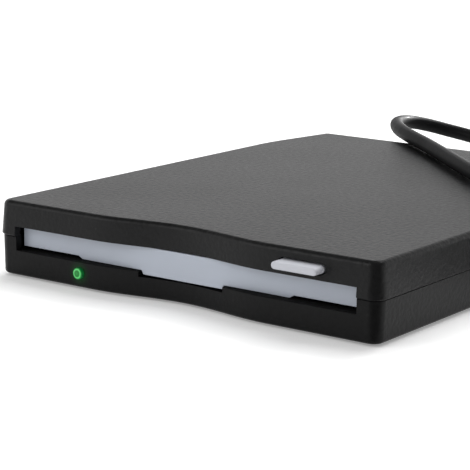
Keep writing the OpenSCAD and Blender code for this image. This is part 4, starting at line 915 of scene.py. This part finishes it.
def coilPoint(degrees):
    sweep = 360 * coil["turns"]
    radius = coil["radius"] - coil["pitch"] * (sweep / 2 - abs(degrees - sweep / 2)) / 360
    climb = min(max((degrees - sweep / 2 + 90) / 180, 0), 1)
    a = math.radians(degrees)
    return Vector((coil["centre"][0] + radius * math.sin(a), coil["centre"][1] - radius * math.cos(a),
                   coil["low"] + coil["rise"] * climb * climb * (3 - 2 * climb)))


def leadRoute():
    coilSteps = int(48 * coil["turns"])
    turns = [coilPoint(360 * coil["turns"] * i / coilSteps) for i in range(coilSteps + 1)]
    return smoothRoute(leadPoints, lead["steps"]) + turns + smoothRoute(tailPoints, lead["steps"])


def wireCurve(name, runs, radius, slotName, sides=16):
    data = bpy.data.curves.new(name, "CURVE")
    data.dimensions = "3D"
    data.bevel_depth = radius * mm
    data.bevel_resolution = sides // 4 - 1
    data.use_fill_caps = True
    for run in runs:
        spline = data.splines.new("POLY")
        spline.points.add(len(run) - 1)
        for point, place in zip(spline.points, run):
            point.co = (*(Vector(place) * mm), 1)
        spline.use_smooth = True
    return dress(linkNew(name, data), slotName, "case")


def makeLead():
    route = leadRoute()
    piece = wireCurve("usbLead", [route], lead["diameter"] / 2, "cord_black", lead["sides"])
    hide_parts("usb_cord", "cord_coil", "cord_tail")
    length = sum((b - a).length for a, b in zip(route, route[1:])) * mm
    print("lead length", round(length, 4))


relief = {
    "core": 0.5, "flange": 3.8, "neck": 2.6, "shoulder": 3.6, "collar": 3.3, "over": 0.45, "taperFrom": 1.2,
    "thick": 1.4, "edge": 0.15, "gap": 0.1,
    "grooves": 5, "groove": ((0.5, 0), (0.58, 0.12), (0.66, 0.46), (0.84, 0.46), (0.92, 0.12), (1.0, 0)),
}


def makeRelief():
    bm = bmesh.new()
    core, flange, neck, shoulder, collar = (
        relief[key] for key in ("core", "flange", "neck", "shoulder", "collar"))
    tail, taperFrom = lead["diameter"] / 2 + relief["over"], back + relief["taperFrom"]
    length, edge, gap = reliefEnd - taperFrom, relief["edge"], relief["gap"]
    seat = back - case["wall"] - case["step"] - gap
    inner = seat - relief["thick"]
    profile = [(core, inner), (flange - edge, inner), (flange, inner + edge), (flange, seat - edge),
               (flange - 0.05, seat - gap), (neck, seat - gap), (neck, back + gap),
               (shoulder - edge, back + gap), (shoulder, back + gap + edge), (shoulder, taperFrom - edge),
               (shoulder - edge, taperFrom)]
    step = length / (relief["grooves"] + 1)
    for i in range(relief["grooves"]):
        for share, depth in relief["groove"]:
            along = (i + share) * step
            profile.append((collar + (tail - collar) * along / length - depth, taperFrom + along))
    profile += [(tail, reliefEnd - 0.2), (tail - 0.18, reliefEnd), (core, reliefEnd)]
    addTurned(bm, profile, (exitX, 0, partZ), (0, 1, 0), 48)
    piece = addPiece("strainRelief", newMesh("strainRelief", bm), "cord_black")
    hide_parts("strain_relief")


strap = {"width": 6, "thick": 0.6, "corner": 1.6, "steps": 6}


def makeTie():
    bm = bmesh.new()
    low, high = (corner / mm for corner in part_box("coil_tie"))
    halfTie = strap["width"] / 2
    loops = []
    for inset in (0, strap["thick"]):
        x0, x1, z0, z1 = low.x + inset, high.x - inset, low.z + inset * 0.5, high.z - inset
        radius = strap["corner"] - inset
        loop = []
        for cx, cz, start in ((x1 - radius, z1 - radius, 90), (x1 - radius, z0 + radius, 0),
                              (x0 + radius, z0 + radius, -90), (x0 + radius, z1 - radius, -180)):
            for i in range(strap["steps"] + 1):
                a = math.radians(start - 90 * i / strap["steps"])
                loop.append((cx + radius * math.cos(a), cz + radius * math.sin(a)))
        loops.append(loop)
    centreY = (low.y + high.y) / 2
    edges = [(loops[0], -halfTie), (loops[0], halfTie), (loops[1], halfTie), (loops[1], -halfTie)]
    rings = [[(x, centreY + y, z) for x, z in loop] for loop, y in edges + edges[:1]]
    addRings(bm, rings, False, False)
    bmesh.ops.remove_doubles(bm, verts=bm.verts, dist=0.001)
    piece = addPiece("coilStrap", newMesh("coilStrap", bm), "cord_black")
    piece.data.materials[0] = wovenStrap("strapWeave", (0.02, 0.02, 0.021))
    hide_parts("coil_tie")
    return piece


makeRelief()
strapPiece = makeTie()
makeLead()
print("lead, strap and strain relief made")


springs = {"length": 22, "radius": 1, "wire": 0.2, "turns": 10, "turnSteps": 24, "travel": 2.6}


def meshFromCurve(piece):  # the springs are squashed by their points, so they become meshes
    graph = bpy.context.evaluated_depsgraph_get()
    mesh = bpy.data.meshes.new_from_object(piece.evaluated_get(graph))
    name, slotName, body = piece.name, piece["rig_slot"], piece["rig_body"]
    data = piece.data
    bpy.data.objects.remove(piece)
    bpy.data.curves.remove(data)
    return addPiece(name, mesh, slotName, body, 60)


def makeEjectSprings():
    low, high = (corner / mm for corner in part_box("eject_springs"))
    middleZ = (low.z + high.z) / 2
    startY = low.y + springs["wire"]
    length = high.y - low.y - 2 * springs["wire"]
    springX = high.x - springs["radius"] - springs["wire"]
    runs = []
    for side in (-1, 1):
        run = []
        steps = springs["turns"] * springs["turnSteps"]
        for i in range(steps + 1):
            a = 2 * math.pi * i / springs["turnSteps"]
            run.append((side * springX + springs["radius"] * math.sin(a), startY + length * i / steps,
                        middleZ + springs["radius"] * math.cos(a)))
        runs.append(run)
    piece = meshFromCurve(wireCurve("returnSprings", runs, springs["wire"], "spring_steel"))
    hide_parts("eject_springs")
    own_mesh(piece)


hingeSpring = {"wire": 0.13, "turns": 4, "turnSteps": 24}


def makeFlapSpring():
    low, high = (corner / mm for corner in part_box("flap_spring"))
    wire, steps = hingeSpring["wire"], hingeSpring["turns"] * hingeSpring["turnSteps"]
    radius = (high.z - low.z) / 2 - wire
    run = []
    for i in range(steps + 1):
        a = 2 * math.pi * i / hingeSpring["turnSteps"]
        run.append((low.x + wire + (high.x - low.x - 2 * wire) * i / steps,
                    (low.y + high.y) / 2 + radius * math.cos(a), (low.z + high.z) / 2 + radius * math.sin(a)))
    piece = wireCurve("flapSpring", [run], wire, "spring_steel")
    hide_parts("flap_spring")


windings = {"outer": 3.2, "inner": 1.2, "count": 9, "layers": 8, "sides": 28}


def makeWindings():
    low, high = (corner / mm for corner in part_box("stator_coils"))
    outer, inner, count, layers = (windings[key] for key in ("outer", "inner", "count", "layers"))
    centre = spindleCentre / mm
    ringRadius = high.x - centre.x - outer
    bm = bmesh.new()
    height = high.z - low.z
    wire = (outer - inner) / (2 * layers)
    for i in range(count):
        a = math.radians(360 * i / count)
        place = (centre.x + ringRadius * math.cos(a), centre.y + ringRadius * math.sin(a), low.z)
        profile = [(inner, 0)]
        for layer in range(layers):
            middle = inner + wire * (2 * layer + 1)
            for k in range(4):
                b = math.radians(180 - 45 * k)
                profile.append((middle + wire * math.cos(b), height - wire + wire * math.sin(b)))
        profile += [(outer, height - wire), (outer, 0), (inner, 0)]
        addTurned(bm, profile, place, (0, 0, 1), windings["sides"], False, False)
    piece = addPiece("motorWindings", newMesh("motorWindings", bm), "copper_coil")
    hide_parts("stator_coils")


makeEjectSprings()
makeFlapSpring()
makeWindings()
print("springs and windings made")


nodeSlots = {part["node"]: part["material_slot"] for part in frame["record"]["subparts"]}


def finishNodes():
    for name, nodeObject in frame["nodes"].items():
        nodeObject.data.materials.clear()
        nodeObject.data.materials.append(finishes[nodeSlots[name]])
    ribbon = frame["nodes"]["motor_ribbon"]  # its conductors run the other way
    ribbon.data.materials[0] = flatRibbon("motorRibbonCream", ribbonColour, "X")


finishNodes()
print("nodes finished")


studio = {
    "floorWhite": 0.86, "floorLift": 0.24, "worldLevel": 0.5, "sweepTop": 0.33, "dim": 0.08,
    # the three dark-reflection values below paint the floor and sky dark towards the camera's side for glossy
    # rays
    "darkReflectionSide": (0.68, -0.73, 0), "darkReflectionEdge": (0.35, 0.78), "darkReflectionDim": 0.06,
    "farFloor": (0.5, 1.3), "farLift": 0.45,
}


def makeFloor():
    bm = bmesh.new()
    addBox(bm, (-3000, -3000, -2), (3000, 3000, 0))
    mesh = newMesh("floor", bm)
    material = bpy.data.materials.new("paleFloor")
    material.use_nodes = True
    material.node_tree.nodes.clear()
    paint = Nodes(material.node_tree)
    white = paint.add("ShaderNodeBsdfDiffuse", {}, {"Color": (*(studio["floorWhite"],) * 3, 1)})
    corner = (halfWidth * mm, front * mm, 0)
    away = paint.vector("SUBTRACT", paint.add("ShaderNodeNewGeometry", output="Position"), corner)
    # The lamps don't reach the far floor, so the camera sees it lifted to white
    far = (paint.vector("LENGTH", away, output="Value").spread(*studio["farFloor"])
           * paint.add("ShaderNodeLightPath", output="Is Camera Ray"))
    lift = paint.seen() * studio["floorLift"] + far * studio["farLift"]
    glow = paint.add("ShaderNodeEmission", {}, {"Strength": lift})
    both = paint.add("ShaderNodeAddShader", {}, {0: white, 1: glow})
    # painted dark reflection: for glossy rays towards the camera's side the floor turns dark
    black = paint.add("ShaderNodeEmission", {}, {"Strength": studio["darkReflectionDim"]})
    darkReflectionShare = paint.paintedDarkReflection(paint.vector("NORMALIZE", away))
    surface = paint.add("ShaderNodeMixShader", {}, {0: darkReflectionShare, 1: both, 2: black})
    paint.add("ShaderNodeOutputMaterial", {}, {"Surface": surface})
    mesh.materials.append(material)
    floor = linkNew("floor", mesh)


def makeWorld():
    world = bpy.data.worlds.new("studio")
    bpy.context.scene.world = world
    world.use_nodes = True
    world.node_tree.nodes.clear()
    sky = Nodes(world.node_tree)
    # Round the part stands a white sweep; over it, what is polished shows the dark room
    direction = sky.add("ShaderNodeTexCoord")
    height = sky.add("ShaderNodeSeparateXYZ", {}, {0: direction}, "Z")
    over = (height.spread(studio["sweepTop"], 2 * studio["sweepTop"])
            * sky.add("ShaderNodeLightPath", output="Is Glossy Ray"))
    # for glossy rays towards the camera's side the sky is dimmed too: painted dark reflection
    level = (1 - over * (1 - studio["dim"])) * (1 - sky.paintedDarkReflection(direction) * (1 - studio["darkReflectionDim"]))
    shown = sky.add("ShaderNodeBackground", {}, {"Color": (1, 1, 1, 1), "Strength": level})
    light = sky.add("ShaderNodeBackground", {}, {"Color": (1, 1, 1, 1), "Strength": studio["worldLevel"]})
    mixed = sky.add("ShaderNodeMixShader", {}, {0: sky.seen(), 1: light, 2: shown})
    sky.add("ShaderNodeOutputWorld", {}, {"Surface": mixed})


def addLamp(name, place, target, size, power, mirrored=True, only=None):
    data = bpy.data.lights.new(name, "AREA")
    data.shape, data.size, data.energy = "SQUARE", size, power
    lamp = linkNew(name, data)
    lamp.location = place
    lamp.rotation_mode = "QUATERNION"
    lamp.rotation_quaternion = (Vector(target) - Vector(place)).to_track_quat("-Z", "Y")
    lamp.visible_glossy = mirrored
    if only:
        lit = bpy.data.collections.new(name + "Lit")
        lit.objects.link(only)
        lamp.light_linking.receiver_collection = lit
        lamp.visible_diffuse = False


makeFloor()
makeWorld()
addLamp("topSoftbox", (-0.1, 0.45, 0.8), (0, 0, 0), 0.8, 7, mirrored=False)
addLamp("frontFill", (-0.5, -0.7, 0.5), (0, 0, 0), 0.5, 1.8)
addLamp("backSpot", (0.05, 0.5, 0.75), (0, 0.05, 0), 0.12, 1.2)
addLamp("cordGlint", (-0.037, 0.99, 0.457), (0, 0.1, 0.02), 0.16, 22, only=bpy.data.objects["usbLead"])
bpy.context.scene.view_settings.view_transform = "Standard"
print("floor and light made")
